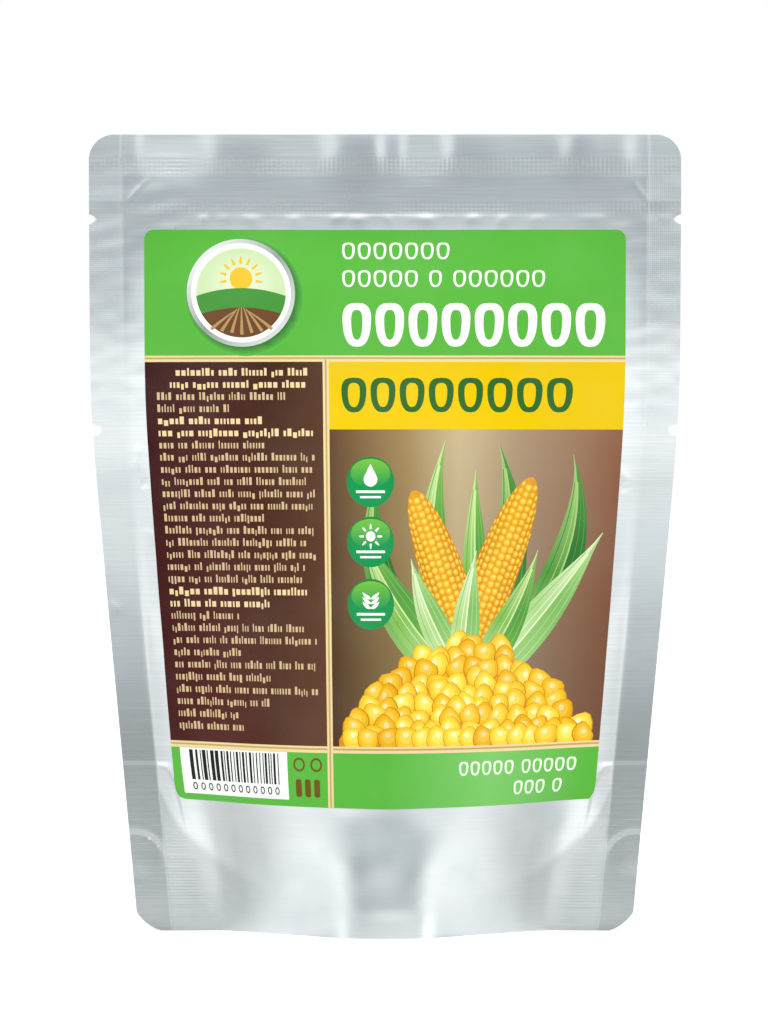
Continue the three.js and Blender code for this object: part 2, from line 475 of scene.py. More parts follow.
@dataclass(frozen=True)
class Waver(Relief):
    """Slow random unevenness of the film between two heights, made of many soft waves."""

    amplitude: float
    length_run: float
    length_z: float
    seed: int
    low: Point = (-30.0, -20.0)
    high: Point = (300.0, 320.0)
    inner: Point = (-2.0, -1.0)
    outer: Point = (300.0, 320.0)
    waves: int = 14

    def rise(self, run: Array, z: Array) -> Array:
        """Height of the unevenness at these places.

        Args:
            run: distance from the centre line along the film.
            z: height.

        Returns:
            The heights, outwards.
        """
        chance = np.random.default_rng(self.seed)
        total = np.zeros(np.shape(run))
        for _ in range(self.waves):
            scale = chance.uniform(0.6, 1.7, 2)
            tilt = chance.uniform(-1.0, 1.0)
            phase = chance.uniform(0.0, 2 * math.pi)
            turns = scale[0] * run / self.length_run * tilt + scale[1] * z / self.length_z
            total += np.sin(2 * math.pi * turns + phase)
        away = np.abs(run)
        mask = smoothstep(z, *self.low) * (1.0 - smoothstep(z, *self.high))
        mask = mask * smoothstep(away, *self.inner) * (1.0 - smoothstep(away, *self.outer))
        return self.amplitude * mask * total / math.sqrt(self.waves)


@dataclass(frozen=True)
class SealEdges(Relief):
    """Fine lines left by the side and top seals, and the raised fold of the gusset in the side seals."""

    form: PouchForm

    def rise(self, run: Array, z: Array) -> Array:
        """Height of the lines at these places.

        Args:
            run: distance from the centre line along the film.
            z: height.

        Returns:
            The heights, outwards.
        """
        away = np.abs(run)
        side = 0.10 * bell(away - self.form.panel_half, 0.5) * smoothstep(z, 36.0, 60.0)
        side = side * (1.0 - 0.4 * smoothstep(z, 120.0, 150.0))
        side = side + 0.06 * bell(away - self.form.panel_half, 0.35) * smoothstep(z, 178.0, 183.0)
        in_fin = smoothstep(away, self.form.panel_half - 0.8, self.form.panel_half + 0.2)
        fold = 0.05 * bell(z - self.form.gusset_height, 0.5) * in_fin
        band_a = 0.03 * bell(z - 178.2, 0.3) + 0.02 * bell(z - 182.9, 0.3)
        band_b = 0.03 * bell(z - 172.3, 0.3)
        return side + fold + band_a + band_b


@dataclass(frozen=True)
class PunchDish(Relief):
    """The round dish where the panels are sealed to each other through a hole in the gusset."""

    form: PouchForm
    z: float = 16.8
    radius: float = 6.75
    inset: float = 1.3
    depth: float = 0.08

    def rise(self, run: Array, z: Array) -> Array:
        """Height of the dish, of its domed floor and of the roll round it.

        Args:
            run: distance from the centre line along the film.
            z: height.

        Returns:
            The heights, outwards.
        """
        centre = self.form.width / 2 - self.inset
        across = np.abs(run) - centre
        up = z - self.z
        distance = np.hypot(across, up)
        low = smoothstep(-up, -1.0, 5.0)
        inside = 1.0 - smoothstep(distance, self.radius - 0.45 - 2.0 * low, self.radius + 0.15 + 1.2 * low)
        bowl = 1.0 - 0.8 * bell(np.hypot(across + 1.0, up - 0.4), 3.8)
        roll = 0.13 * bell(distance - self.radius - 1.6, 1.5) * smoothstep(up, 0.5, 6.0)
        return roll - self.depth * inside * bowl


@dataclass(frozen=True)
class FootPuckers(Relief):
    """Small gathers where the panel leaves the top seal."""

    form: PouchForm
    height: float = 0.32
    seed: int = 7

    def rise(self, run: Array, z: Array) -> Array:
        """Height of the gathers at these places.

        Args:
            run: distance from the centre line along the film.
            z: height.

        Returns:
            The heights, outwards.
        """
        chance = np.random.default_rng(self.seed)
        total = np.zeros(np.shape(run))
        place = -58.0
        while place < 58.0:
            place += chance.uniform(3.0, 9.0)
            width = chance.uniform(0.7, 2.2)
            drop = chance.uniform(1.0, 4.0)
            height = chance.uniform(-0.2, 1.0)
            lean = chance.uniform(-0.5, 0.5)
            below = self.form.top_seal_foot - 0.6 - z
            along = smoothstep(below, -1.2, 0.8) * np.exp(-np.maximum(below, 0.0) / drop)
            total += height * bell(run - place - lean * below, width) * along
        return self.height * total


@dataclass(frozen=True)
class HeadTuck(Relief):
    """The empty head of the pouch, pressed flatter, so that the film leaves the top seal gently."""

    form: PouchForm
    share: float = 0.8
    reach: Point = (4.0, 26.0)

    def rise(self, run: Array, z: Array) -> Array:
        """How far the head is pressed in, below zero."""
        depth = self.form.bare_point(run, z, Side.BACK)[..., 1] - self.form.half_fin(np.abs(run), z)
        return -self.share * depth * (1.0 - smoothstep(self.form.top_seal_foot - z, *self.reach))


class Sway:
    """A shift of both films together along Y, in mm."""

    def shift(self, run: Array, z: Array) -> Array:
        """How far the films stand back at these places."""
        raise NotImplementedError


@dataclass(frozen=True)
class PunchPress(Sway):
    """How the jaw that made the round dish pushed both films back, around a domed middle."""

    dish: PunchDish
    depth: float = 0.34

    def shift(self, run: Array, z: Array) -> Array:
        """How far the films stand back at these places.

        Args:
            run: distance from the centre line along the film.
            z: height.

        Returns:
            The distances.
        """
        across = np.abs(run) - (self.dish.form.width / 2 - self.dish.inset)
        up = z - self.dish.z
        low = smoothstep(-up, -1.0, 5.0)
        edge = (self.dish.radius - 1.0 - 2.6 * low, self.dish.radius + 0.5 + 1.6 * low)
        inside = 1.0 - smoothstep(np.hypot(across, up), *edge)
        return self.depth * inside * (1.0 - bell(np.hypot(across + 0.6, up - 0.2), 4.7))


@dataclass(frozen=True)
class FinLean(Sway):
    """The slow bend of the side seals, which the edges of the panels follow."""

    at_base: float = -3.4
    bends: tuple[tuple[float, float, float], ...] = (
        (-1.2, 34.0, 78.0),
        (3.2, 74.0, 122.0),
        (3.7, 106.0, 146.0),
        (-2.1, 148.0, 188.0),
    )
    follow: Point = (42.0, 61.0)
    stiff: Point = (150.0, 171.0)

    def shift(self, run: Array, z: Array) -> Array:
        """How far the films stand back at these places.

        Args:
            run: distance from the centre line along the film.
            z: height.

        Returns:
            The distances.
        """
        total = self.at_base + sum(distance * smoothstep(z, low, high) for distance, low, high in self.bends)
        head = smoothstep(z, *self.stiff)
        return total * lerp(smoothstep(np.abs(run), *self.follow), 1.0, head)


@dataclass(frozen=True)
class LipWaves(Sway):
    """Upright ripples of the top edge: each is a soft step forwards or back."""

    steps: tuple[tuple[float, float, float], ...] = (
        (-58.0, 1.00, 1.6),
        (-42.3, -1.45, 2.9),
        (-27.0, 0.95, 4.5),
        (-13.4, -1.80, 3.1),
        (-1.0, 1.00, 1.5),
        (4.3, 0.80, 1.2),
        (14.5, -1.35, 2.3),
        (28.0, 0.75, 4.5),
        (42.5, -1.40, 2.8),
        (51.0, 0.70, 3.8),
        (58.0, 0.95, 2.1),
    )
    full: float = 188.0
    gone: float = 174.0

    def shift(self, run: Array, z: Array) -> Array:
        """How far the films stand back at these places."""
        total = sum(rise / 2 * np.tanh((run - place) / width) for place, rise, width in self.steps)
        return total * smoothstep(z, self.gone, self.full)


@dataclass
class CreasedForm:
    """The form with all its relief."""

    form: PouchForm
    front: list[Relief]
    back: list[Relief]
    sways: list[Sway]

    def point(self, run: Array, z: Array, side: Side, lift: float = 0.0) -> Array:
        """A point on a panel, or off it by lift.

        Args:
            run: distance from the centre line along the film.
            z: height.
            side: the panel.
            lift: distance outwards.

        Returns:
            The points, one row of three each.
        """
        reliefs = self.front if side is Side.FRONT else self.back
        height = lift + sum(relief.rise(run, z) for relief in reliefs)
        normal = self.form.bare_normal(run, z, side)
        points = self.form.bare_point(run, z, side) + normal * np.asarray(height)[..., None]
        points[..., 1] += sum(sway.shift(run, z) for sway in self.sways)
        return points


BASE_SEAL_MARK = Crease(
    (
        (62.6, 39.3), (59.4, 38.9), (57.6, 37.3), (56.3, 34.0), (55.8, 31.0),
        (55.4, 25.5), (54.9, 21.0), (54.2, 17.0),
    ),
    0.24, 0.6, fade=0.3, mirrored=True,
)


def front_reliefs(form: PouchForm) -> list[Relief]:
    """Creases and dents of the front film, as the photograph shows them.

    Args:
        form: the bare form.

    Returns:
        The reliefs, which add up.
    """
    return [
        BASE_SEAL_MARK,
        SealEdges(form),
        PunchDish(form),
        FootPuckers(form),
        HeadTuck(form),
        Waver(0.055, 34.0, 30.0, seed=3, outer=(54.0, 61.0), high=(160.0, 168.0)),
        Waver(0.03, 16.0, 15.0, seed=5, low=(2.0, 8.0), high=(26.0, 34.0), outer=(44.0, 52.0)),
        Waver(0.035, 9.0, 7.0, seed=11, low=(120.0, 130.0), high=(176.0, 186.0), inner=(40.0, 56.0)),
        # The middle of the foot: a shallow flute between two soft ridges
        Dent((1.0, 21.5), (8.0, 14.0), -1.75),
        Dent((0.0, -2.0), (30.0, 6.0), 0.15),
        Crease(((13.5, 12.5), (6.0, 7.5)), 0.10, 1.7, fade=0.45, mirrored=True),
        Dent((1.0, 6.2), (5.0, 1.7), -0.07),
        Dent((27.0, 22.0), (13.0, 9.0), 0.5, turn=12, mirrored=True),
        # Creases that start at the curved base seal
        Crease(((-42.0, 29.5), (-37.0, 24.0), (-33.0, 13.0)), -0.07, 2.6, fade=0.4),
        Crease(((43.0, 30.0), (38.0, 25.0), (35.0, 18.0)), -0.08, 2.4, fade=0.4),
        # Top seal corners
        Crease(((-61.5, 171.5), (-58.5, 175.0), (-55.5, 178.2)), 0.11, 0.45),
        Crease(((-57.0, 175.0), (-60.5, 178.5)), -0.05, 0.6),
        Crease(((62.6, 172.0), (60.6, 174.3), (58.4, 177.4)), 0.10, 0.45),
        Crease(((64.5, 176.0), (60.0, 171.0)), -0.05, 0.6),
        # Handling marks beside the label
        Crease(((-59.0, 115.5), (-60.5, 107.5)), 0.18, 0.8, Profile.FOLD, 0.3),
        Crease(((-59.8, 105.4), (-57.6, 105.8)), -0.2, 0.5, fade=0.35),
        Crease(((-59.6, 95.5), (-56.5, 91.5)), 0.16, 0.6, Profile.FOLD, 0.3),
        Crease(((-58.2, 63.0), (-56.2, 62.4)), 0.12, 0.5, fade=0.35),
        Crease(((57.0, 109.3), (60.5, 104.8)), 0.18, 0.9, Profile.FOLD, 0.3),
        Crease(((57.2, 104.2), (60.6, 105.7)), -0.2, 0.5, fade=0.35),
        Crease(((-69.4, 77.8), (-67.4, 75.0)), 0.12, 0.6, fade=0.3),
    ]


def back_reliefs(form: PouchForm) -> list[Relief]:
    """Creases and dents of the back film, which the photograph doesn't show.

    Args:
        form: the bare form.

    Returns:
        The reliefs, which add up.
    """
    return [
        BASE_SEAL_MARK,
        SealEdges(form),
        PunchDish(form),
        FootPuckers(form, seed=23),
        HeadTuck(form),
        Waver(0.075, 34.0, 32.0, seed=31, outer=(54.0, 61.0), high=(160.0, 168.0)),
        Waver(0.05, 17.0, 15.0, seed=37, low=(2.0, 8.0), high=(30.0, 44.0), outer=(44.0, 52.0)),
        Dent((2.0, 22.0), (6.4, 14.0), -1.7),
        Dent((0.0, -2.0), (30.0, 6.0), 0.2),
        Dent((10.8, 15.0), (5.2, 12.0), 0.2, turn=-6, mirrored=True),
        Dent((0.8, 6.2), (6.0, 1.6), -0.10),
        Crease(((-48.0, 29.5), (-38.0, 24.0), (-30.0, 14.0)), -0.2, 1.7, fade=0.4),
        Crease(((51.0, 30.5), (43.0, 27.0), (36.0, 18.0)), -0.18, 1.7, fade=0.4),
        Crease(((-52.0, 96.0), (-40.0, 90.0), (-30.0, 92.0)), 0.3, 1.6, fade=0.45),
        Crease(((54.0, 118.0), (42.0, 110.0), (33.0, 111.0)), 0.28, 1.7, fade=0.45),
        Crease(((-20.0, 140.0), (-6.0, 131.0), (12.0, 133.0)), -0.26, 2.0, fade=0.45),
        Crease(((62.4, 171.0), (59.5, 175.5), (55.5, 179.0)), 0.17, 0.5),
        Dent((-12.0, 62.0), (9.0, 13.0), -0.35, turn=20),
        Dent((24.0, 84.0), (8.0, 12.0), -0.3, turn=-25),
    ]


# ---- Meshes

def smooth_piece(
    name: str, points: Array, faces: list[list[int]], places: Array
) -> tuple[bpy.types.Object, Array]:
    """Makes a smooth piece with its film map.

    Args:
        name: the piece's name.
        points: its points in mm.
        faces: the point numbers of each face.
        places: where each point lies on the flat film, in mm.

    Returns:
        The piece, in metres, and the point number of each face's corner.
    """
    mesh = bpy.data.meshes.new(name)
    mesh.from_pydata((points * MM).tolist(), [], faces)
    corners = np.empty(len(mesh.loops), dtype=np.int32)
    mesh.loops.foreach_get("vertex_index", corners)
    film_map = mesh.uv_layers.new(name=FILM_MAP)
    film_map.data.foreach_set("uv", places[corners].astype(np.float32).ravel())
    mesh.shade_smooth()
    piece = bpy.data.objects.new(name, mesh)
    bpy.context.scene.collection.objects.link(piece)
    return piece, corners


@dataclass
class SheetMesh:
    """A thin sheet from two grids of points, closed all round its rim."""

    name: str
    outer: Array
    inner: Array
    flip: bool
    places: Array
    masks: Array

    def build(self) -> bpy.types.Object:
        """Makes the sheet's object.

        Returns:
            The object, in metres, with its film map and its mask of embossed areas.
        """
        rows, columns = self.outer.shape[:2]
        stride = (rows - 1) // (self.inner.shape[0] - 1)
        numbers = np.arange(rows * columns).reshape(rows, columns)
        inner_shape = self.inner.shape[:2]
        inner_numbers = rows * columns + np.arange(math.prod(inner_shape)).reshape(inner_shape)
        faces = self._quads(numbers, False) + self._quads(inner_numbers, True)
        faces += self._rim(self._loop(numbers), self._loop(inner_numbers), stride)
        if self.flip:
            faces = [face[::-1] for face in faces]
        points = np.vstack([self.outer.reshape(-1, 3), self.inner.reshape(-1, 3)])
        places, masks = (
            np.vstack([grid.reshape(-1, depth), grid[::stride, ::stride].reshape(-1, depth)])
            for grid, depth in ((self.places, 2), (self.masks, 4))
        )
        piece, _ = smooth_piece(self.name, points, faces, places)
        mask_layer = piece.data.color_attributes.new(EMBOSS, "FLOAT_COLOR", "POINT")
        mask_layer.data.foreach_set("color", masks.astype(np.float32).ravel())
        piece.data.set_sharp_from_angle(angle=SMOOTH_ANGLE)
        return piece

    @staticmethod
    def _quads(numbers: Array, flipped: bool) -> list[list[int]]:
        """Four-sided faces between the rows and columns of a grid.

        Args:
            numbers: the grid's point numbers.
            flipped: whether the faces look the other way.

        Returns:
            Four point numbers for each face.
        """
        corners = [numbers[:-1, :-1], numbers[:-1, 1:], numbers[1:, 1:], numbers[1:, :-1]]
        if flipped:
            corners = corners[::-1]
        return np.stack([corner.ravel() for corner in corners], axis=1).tolist()

    @staticmethod
    def _loop(numbers: Array) -> Array:
        """Point numbers once round the rim of a grid."""
        return np.concatenate([numbers[0, :-1], numbers[:-1, -1], numbers[-1, :0:-1], numbers[:0:-1, 0]])

    @staticmethod
    def _rim(outer: Array, inner: Array, stride: int) -> list[list[int]]:
        """Faces that join the rims of the outer and the inner grid.

        Args:
            outer: point numbers round the outer grid.
            inner: point numbers round the inner grid.
            stride: how many of the outer grid's steps make one of the inner grid's.

        Returns:
            The point numbers of each face.
        """
        faces = []
        count = len(inner)
        for i in range(count):
            j = (i + 1) % count
            run = [int(outer[(i * stride + k) % len(outer)]) for k in range(stride + 1)]
            faces.append([*run[::-1], int(inner[i]), int(inner[j])])
        return faces


# ---- Node shorthand

class Nodes:
    """A node tree with short ways to add and join nodes."""

    def __init__(self, tree: bpy.types.NodeTree) -> None:
        """Keeps the tree."""
        self.tree = tree

    def add(
        self, kind: str, inputs: dict[str | int, object] | None = None, **settings: object
    ) -> bpy.types.Node:
        """Adds a node.

        Args:
            kind: the node's type.
            inputs: what its inputs are linked to, or their values.
            settings: its attributes.

        Returns:
            The node.
        """
        node = self.tree.nodes.new(kind)
        for name, value in settings.items():
            setattr(node, name, value)
        for name, value in (inputs or {}).items():
            self.feed(node.inputs[name], value)
        return node

    def feed(self, socket: Socket, value: object) -> None:
        """Links an input to an output, or sets its value.

        Args:
            socket: the input.
            value: the output or the value.
        """
        if isinstance(value, Socket):
            self.tree.links.new(value, socket)
        else:
            socket.default_value = value

    def math(self, operation: str, *values: object) -> Socket:
        """The result of a Math node, whose inputs are outputs or numbers."""
        return self.add("ShaderNodeMath", dict(enumerate(values)), operation=operation).outputs[0]

    def times(self, first: object, second: object) -> Socket:
        """Two values multiplied."""
        return self.math("MULTIPLY", first, second)

    def plus(self, first: object, second: object) -> Socket:
        """Two values added up."""
        return self.math("ADD", first, second)

    def map_range(self, value: object, source: Point, target: Point, kind: str = "LINEAR") -> Socket:
        """A value moved from one range to another, and held inside it."""
        ends = dict(zip(("From Min", "From Max", "To Min", "To Max"), (*source, *target)))
        return self.add("ShaderNodeMapRange", {"Value": value, **ends}, interpolation_type=kind).outputs[0]

    def stretch(self, vector: object, scale: Sequence[float]) -> Socket:
        """A vector scaled along each axis."""
        return self.add("ShaderNodeMapping", {"Vector": vector, "Scale": scale}).outputs["Vector"]

    def noise(self, vector: object, scale: float, detail: float) -> Socket:
        """Soft noise from 0 to 1."""
        inputs = {"Vector": vector, "Scale": scale, "Detail": detail}
        return self.add("ShaderNodeTexNoise", inputs).outputs["Fac"]

    def mix(self, share: object, first: object, second: object) -> Socket:
        """A mix of two colours: the first where the share is 0, the second where it is 1."""
        inputs = {"Factor": share, 6: first, 7: second}
        return self.add("ShaderNodeMix", inputs, data_type="RGBA").outputs[2]

    def split(self, vector: object) -> list[Socket]:
        """X, Y and Z of a vector."""
        return self.add("ShaderNodeSeparateXYZ", {0: vector}).outputs[:]

    def group(self, tree: bpy.types.NodeTree, place: Socket) -> bpy.types.Node:
        """A group's node, which is given the place on the film."""
        return self.add("ShaderNodeGroup", {"Place": place}, node_tree=tree)

    def bump(self, height: Socket, strength: float) -> Socket:
        """The surface's normal under a height in mm."""
        inputs = {"Strength": strength, "Distance": MM, "Height": height}
        return self.add("ShaderNodeBump", inputs).outputs["Normal"]


def blank_material(name: str) -> tuple[bpy.types.Material, Nodes, bpy.types.Node]:
    """Makes a material.

    Args:
        name: the material's name.

    Returns:
        The material, its nodes and its shader.
    """
    material = bpy.data.materials.new(name)
    material.use_nodes = True
    return material, Nodes(material.node_tree), material.node_tree.nodes["Principled BSDF"]


def group_with(
    name: str, inputs: Sequence[tuple[str, str]], outputs: Sequence[str]
) -> tuple[Nodes, bpy.types.Node, bpy.types.Node]:
    """Starts a shader node group.

    Args:
        name: the group's name.
        inputs: name and socket kind of each input.
        outputs: names of the outputs, which are all numbers.

    Returns:
        The group's nodes, its input node and its output node.
    """
    tree = bpy.data.node_groups.new(name, "ShaderNodeTree")
    for title, kind in inputs:
        tree.interface.new_socket(title, in_out="INPUT", socket_type=kind)
    for title in outputs:
        tree.interface.new_socket(title, in_out="OUTPUT", socket_type="NodeSocketFloat")
    nodes = Nodes(tree)
    return nodes, nodes.add("NodeGroupInput"), nodes.add("NodeGroupOutput")


def rolled_grain() -> bpy.types.NodeTree:
    """Group: the long horizontal streaks that rolling leaves in foil, and cloudy handling marks.

    Returns:
        The group. Place is in mm, Height is in mm, and Streak and Cloud go from 0 to 1.
    """
    nodes, given, made = group_with(
        "rolled_grain", [("Place", "NodeSocketVector")], ["Height", "Streak", "Cloud"]
    )
    place = given.outputs["Place"]
    fine = nodes.noise(nodes.stretch(place, (0.06, 2.8, 1.0)), 1.0, 1.0)
    broad = nodes.noise(nodes.stretch(place, (0.02, 0.6, 1.0)), 1.0, 2.0)
    cloud = nodes.noise(nodes.stretch(place, (0.05, 0.05, 1.0)), 1.0, 4.0)
    streak = nodes.plus(nodes.times(fine, 0.7), nodes.times(broad, 0.3))
    height = nodes.plus(nodes.times(fine, 0.004), nodes.times(broad, 0.006))
    nodes.feed(made.inputs["Height"], height)
    nodes.feed(made.inputs["Streak"], streak)
    nodes.feed(made.inputs["Cloud"], cloud)
    return nodes.tree


def sealing_marks() -> bpy.types.NodeTree:
    """Group: what the heated jaws press into the film.

    Returns:
        The group. Place is in mm, Hatch, Knurl and Ribs are masks from 0 to 1, Height is in mm.
    """
    masks = [(name, "NodeSocketFloat") for name in ("Hatch", "Knurl", "Ribs")]
    inputs = [("Place", "NodeSocketVector"), *masks]
    nodes, given, made = group_with("sealing_marks", inputs, ["Height", "Pressed"])
    run, z, _ = nodes.split(given.outputs["Place"])

    def wave(value: object, pitch: float) -> Socket:
        """A sine of that pitch in mm."""
        return nodes.math("SINE", nodes.times(value, 2 * math.pi / pitch))

    rising = nodes.plus(run, z)
    falling = nodes.math("SUBTRACT", run, z)
    hatch = nodes.times(wave(rising, 0.95), wave(falling, 0.95))
    patch = nodes.noise(nodes.stretch(given.outputs["Place"], (0.085, 0.05, 1.0)), 1.0, 1.0)
    patch = nodes.map_range(patch, (0.40, 0.60), (0.45, 1.1), SOFT)
    knurl = nodes.plus(wave(run, 1.05), nodes.times(wave(z, 0.95), 0.7))
    knurl = nodes.times(knurl, patch)
    ribs = wave(z, 0.72)
    height = nodes.times(nodes.times(hatch, given.outputs["Hatch"]), 0.010)
    for name, marks, depth in (("Knurl", knurl, 0.011), ("Ribs", ribs, 0.010)):
        height = nodes.plus(height, nodes.times(nodes.times(marks, given.outputs[name]), depth))
    pressed = nodes.math("MAXIMUM", given.outputs["Hatch"], given.outputs["Knurl"])
    nodes.feed(made.inputs["Height"], height)
    nodes.feed(made.inputs["Pressed"], nodes.math("MAXIMUM", pressed, given.outputs["Ribs"]))
    return nodes.tree


# ---- Finishes

@dataclass(frozen=True)
class FoilFinish:
    """Satin laminated aluminium foil, rolled with fine horizontal streaks."""

    name: str = "satin_foil"
    clean: Colour = linear(240, 243, 244)
    shaded: Colour = linear(226, 232, 234)
    clouded: Colour = linear(216, 225, 228)
    # Darker tint on sealed foil: partly the duller look of heat-sealed foil, partly painted shade for darker
    # reflections on the low side seals.
    pressed_dull_and_shade: float = 0.25
    knurled_dull: float = 0.07
    folded_dull_and_shade: float = 1.15
    roughness: Point = (0.27, 0.35)
    pressed_roughness: float = 0.05
    relief: float = 1.0

    def material(self, grain: bpy.types.NodeTree, marks: bpy.types.NodeTree) -> bpy.types.Material:
        """Makes the material.

        Args:
            grain: the group of rolling streaks.
            marks: the group of sealing marks.

        Returns:
            The material, which reads the film map and the mask of embossed areas.
        """
        material, nodes, shader = blank_material(self.name)
        place = nodes.add("ShaderNodeUVMap", uv_map=FILM_MAP).outputs["UV"]
        masks = nodes.add("ShaderNodeVertexColor", layer_name=EMBOSS)
        split = nodes.add("ShaderNodeSeparateColor", {0: masks.outputs["Color"]})
        hatch, knurl, ribs = split.outputs
        rolled = nodes.group(grain, place)
        pressed = nodes.group(marks, place)
        for name, output in (("Hatch", hatch), ("Knurl", knurl), ("Ribs", ribs)):
            nodes.feed(pressed.inputs[name], output)
        strength = nodes.map_range(masks.outputs["Alpha"], (0.0, 1.0), (1.0, 0.35))
        height = nodes.times(rolled.outputs["Height"], strength)
        height = nodes.plus(height, pressed.outputs["Height"])
        streak = nodes.math("SUBTRACT", rolled.outputs["Streak"], 0.5)
        streak = nodes.plus(nodes.times(streak, strength), 0.5)
        tint = nodes.map_range(streak, (0.3, 0.7), (0.0, 1.0))
        foil = nodes.mix(tint, (*self.shaded, 1.0), (*self.clean, 1.0))
        clouded = nodes.map_range(rolled.outputs["Cloud"], (0.44, 0.68), (0.0, 0.55), SOFT)
        foil = nodes.mix(clouded, foil, (*self.clouded, 1.0))
        # Painted shade, partly real dullness: the base colour goes towards black on the ribbed seals, and
        # most on the low side seals.
        folded = nodes.times(nodes.times(hatch, ribs), self.folded_dull_and_shade)
        dull_and_shade = nodes.plus(nodes.times(ribs, self.pressed_dull_and_shade), folded)
        dull_and_shade = nodes.plus(dull_and_shade, nodes.times(knurl, self.knurled_dull))
        nodes.feed(shader.inputs["Base Color"], nodes.mix(dull_and_shade, foil, (0.0, 0.0, 0.0, 1.0)))
        rough = nodes.map_range(rolled.outputs["Cloud"], (0.3, 0.7), self.roughness)
        rough = nodes.plus(rough, nodes.times(pressed.outputs["Pressed"], self.pressed_roughness))
        nodes.feed(shader.inputs["Roughness"], rough)
        nodes.feed(shader.inputs["Normal"], nodes.bump(height, self.relief))
        shader.inputs["Metallic"].default_value = 1.0
        return material


@dataclass(frozen=True)
class PrintedFinish:
    """A smooth printed sheet, whose colours come from the ink laid on its mesh."""

    name: str = "printed_label"
    roughness: Point = (0.48, 0.56)
    relief: float = 0.35
    specular: float = 0.03
    faded: Colour = linear(238, 240, 232)

    def material(self, grain: bpy.types.NodeTree) -> bpy.types.Material:
        """Makes the material.

        Args:
            grain: the group of rolling streaks, which show faintly through the sheet.

        Returns:
            The material, which reads the ink and the film map.
        """
        material, nodes, shader = blank_material(self.name)
        ink = nodes.add("ShaderNodeVertexColor", layer_name=INK).outputs["Color"]
        place = nodes.add("ShaderNodeUVMap", uv_map=FILM_MAP).outputs["UV"]
        rolled = nodes.group(grain, place)
        speck = nodes.times(nodes.noise(place, 5.0, 2.0), rolled.outputs["Cloud"])
        fade = nodes.map_range(speck, (0.2, 0.4), (0.0, 0.03))
        nodes.feed(shader.inputs["Base Color"], nodes.mix(fade, ink, (*self.faded, 1.0)))
        rough = nodes.map_range(rolled.outputs["Cloud"], (0.3, 0.7), self.roughness)
        nodes.feed(shader.inputs["Roughness"], rough)
        nodes.feed(shader.inputs["Normal"], nodes.bump(rolled.outputs["Height"], self.relief))
        shader.inputs["Specular IOR Level"].default_value = self.specular
        return material


# ---- The pouch

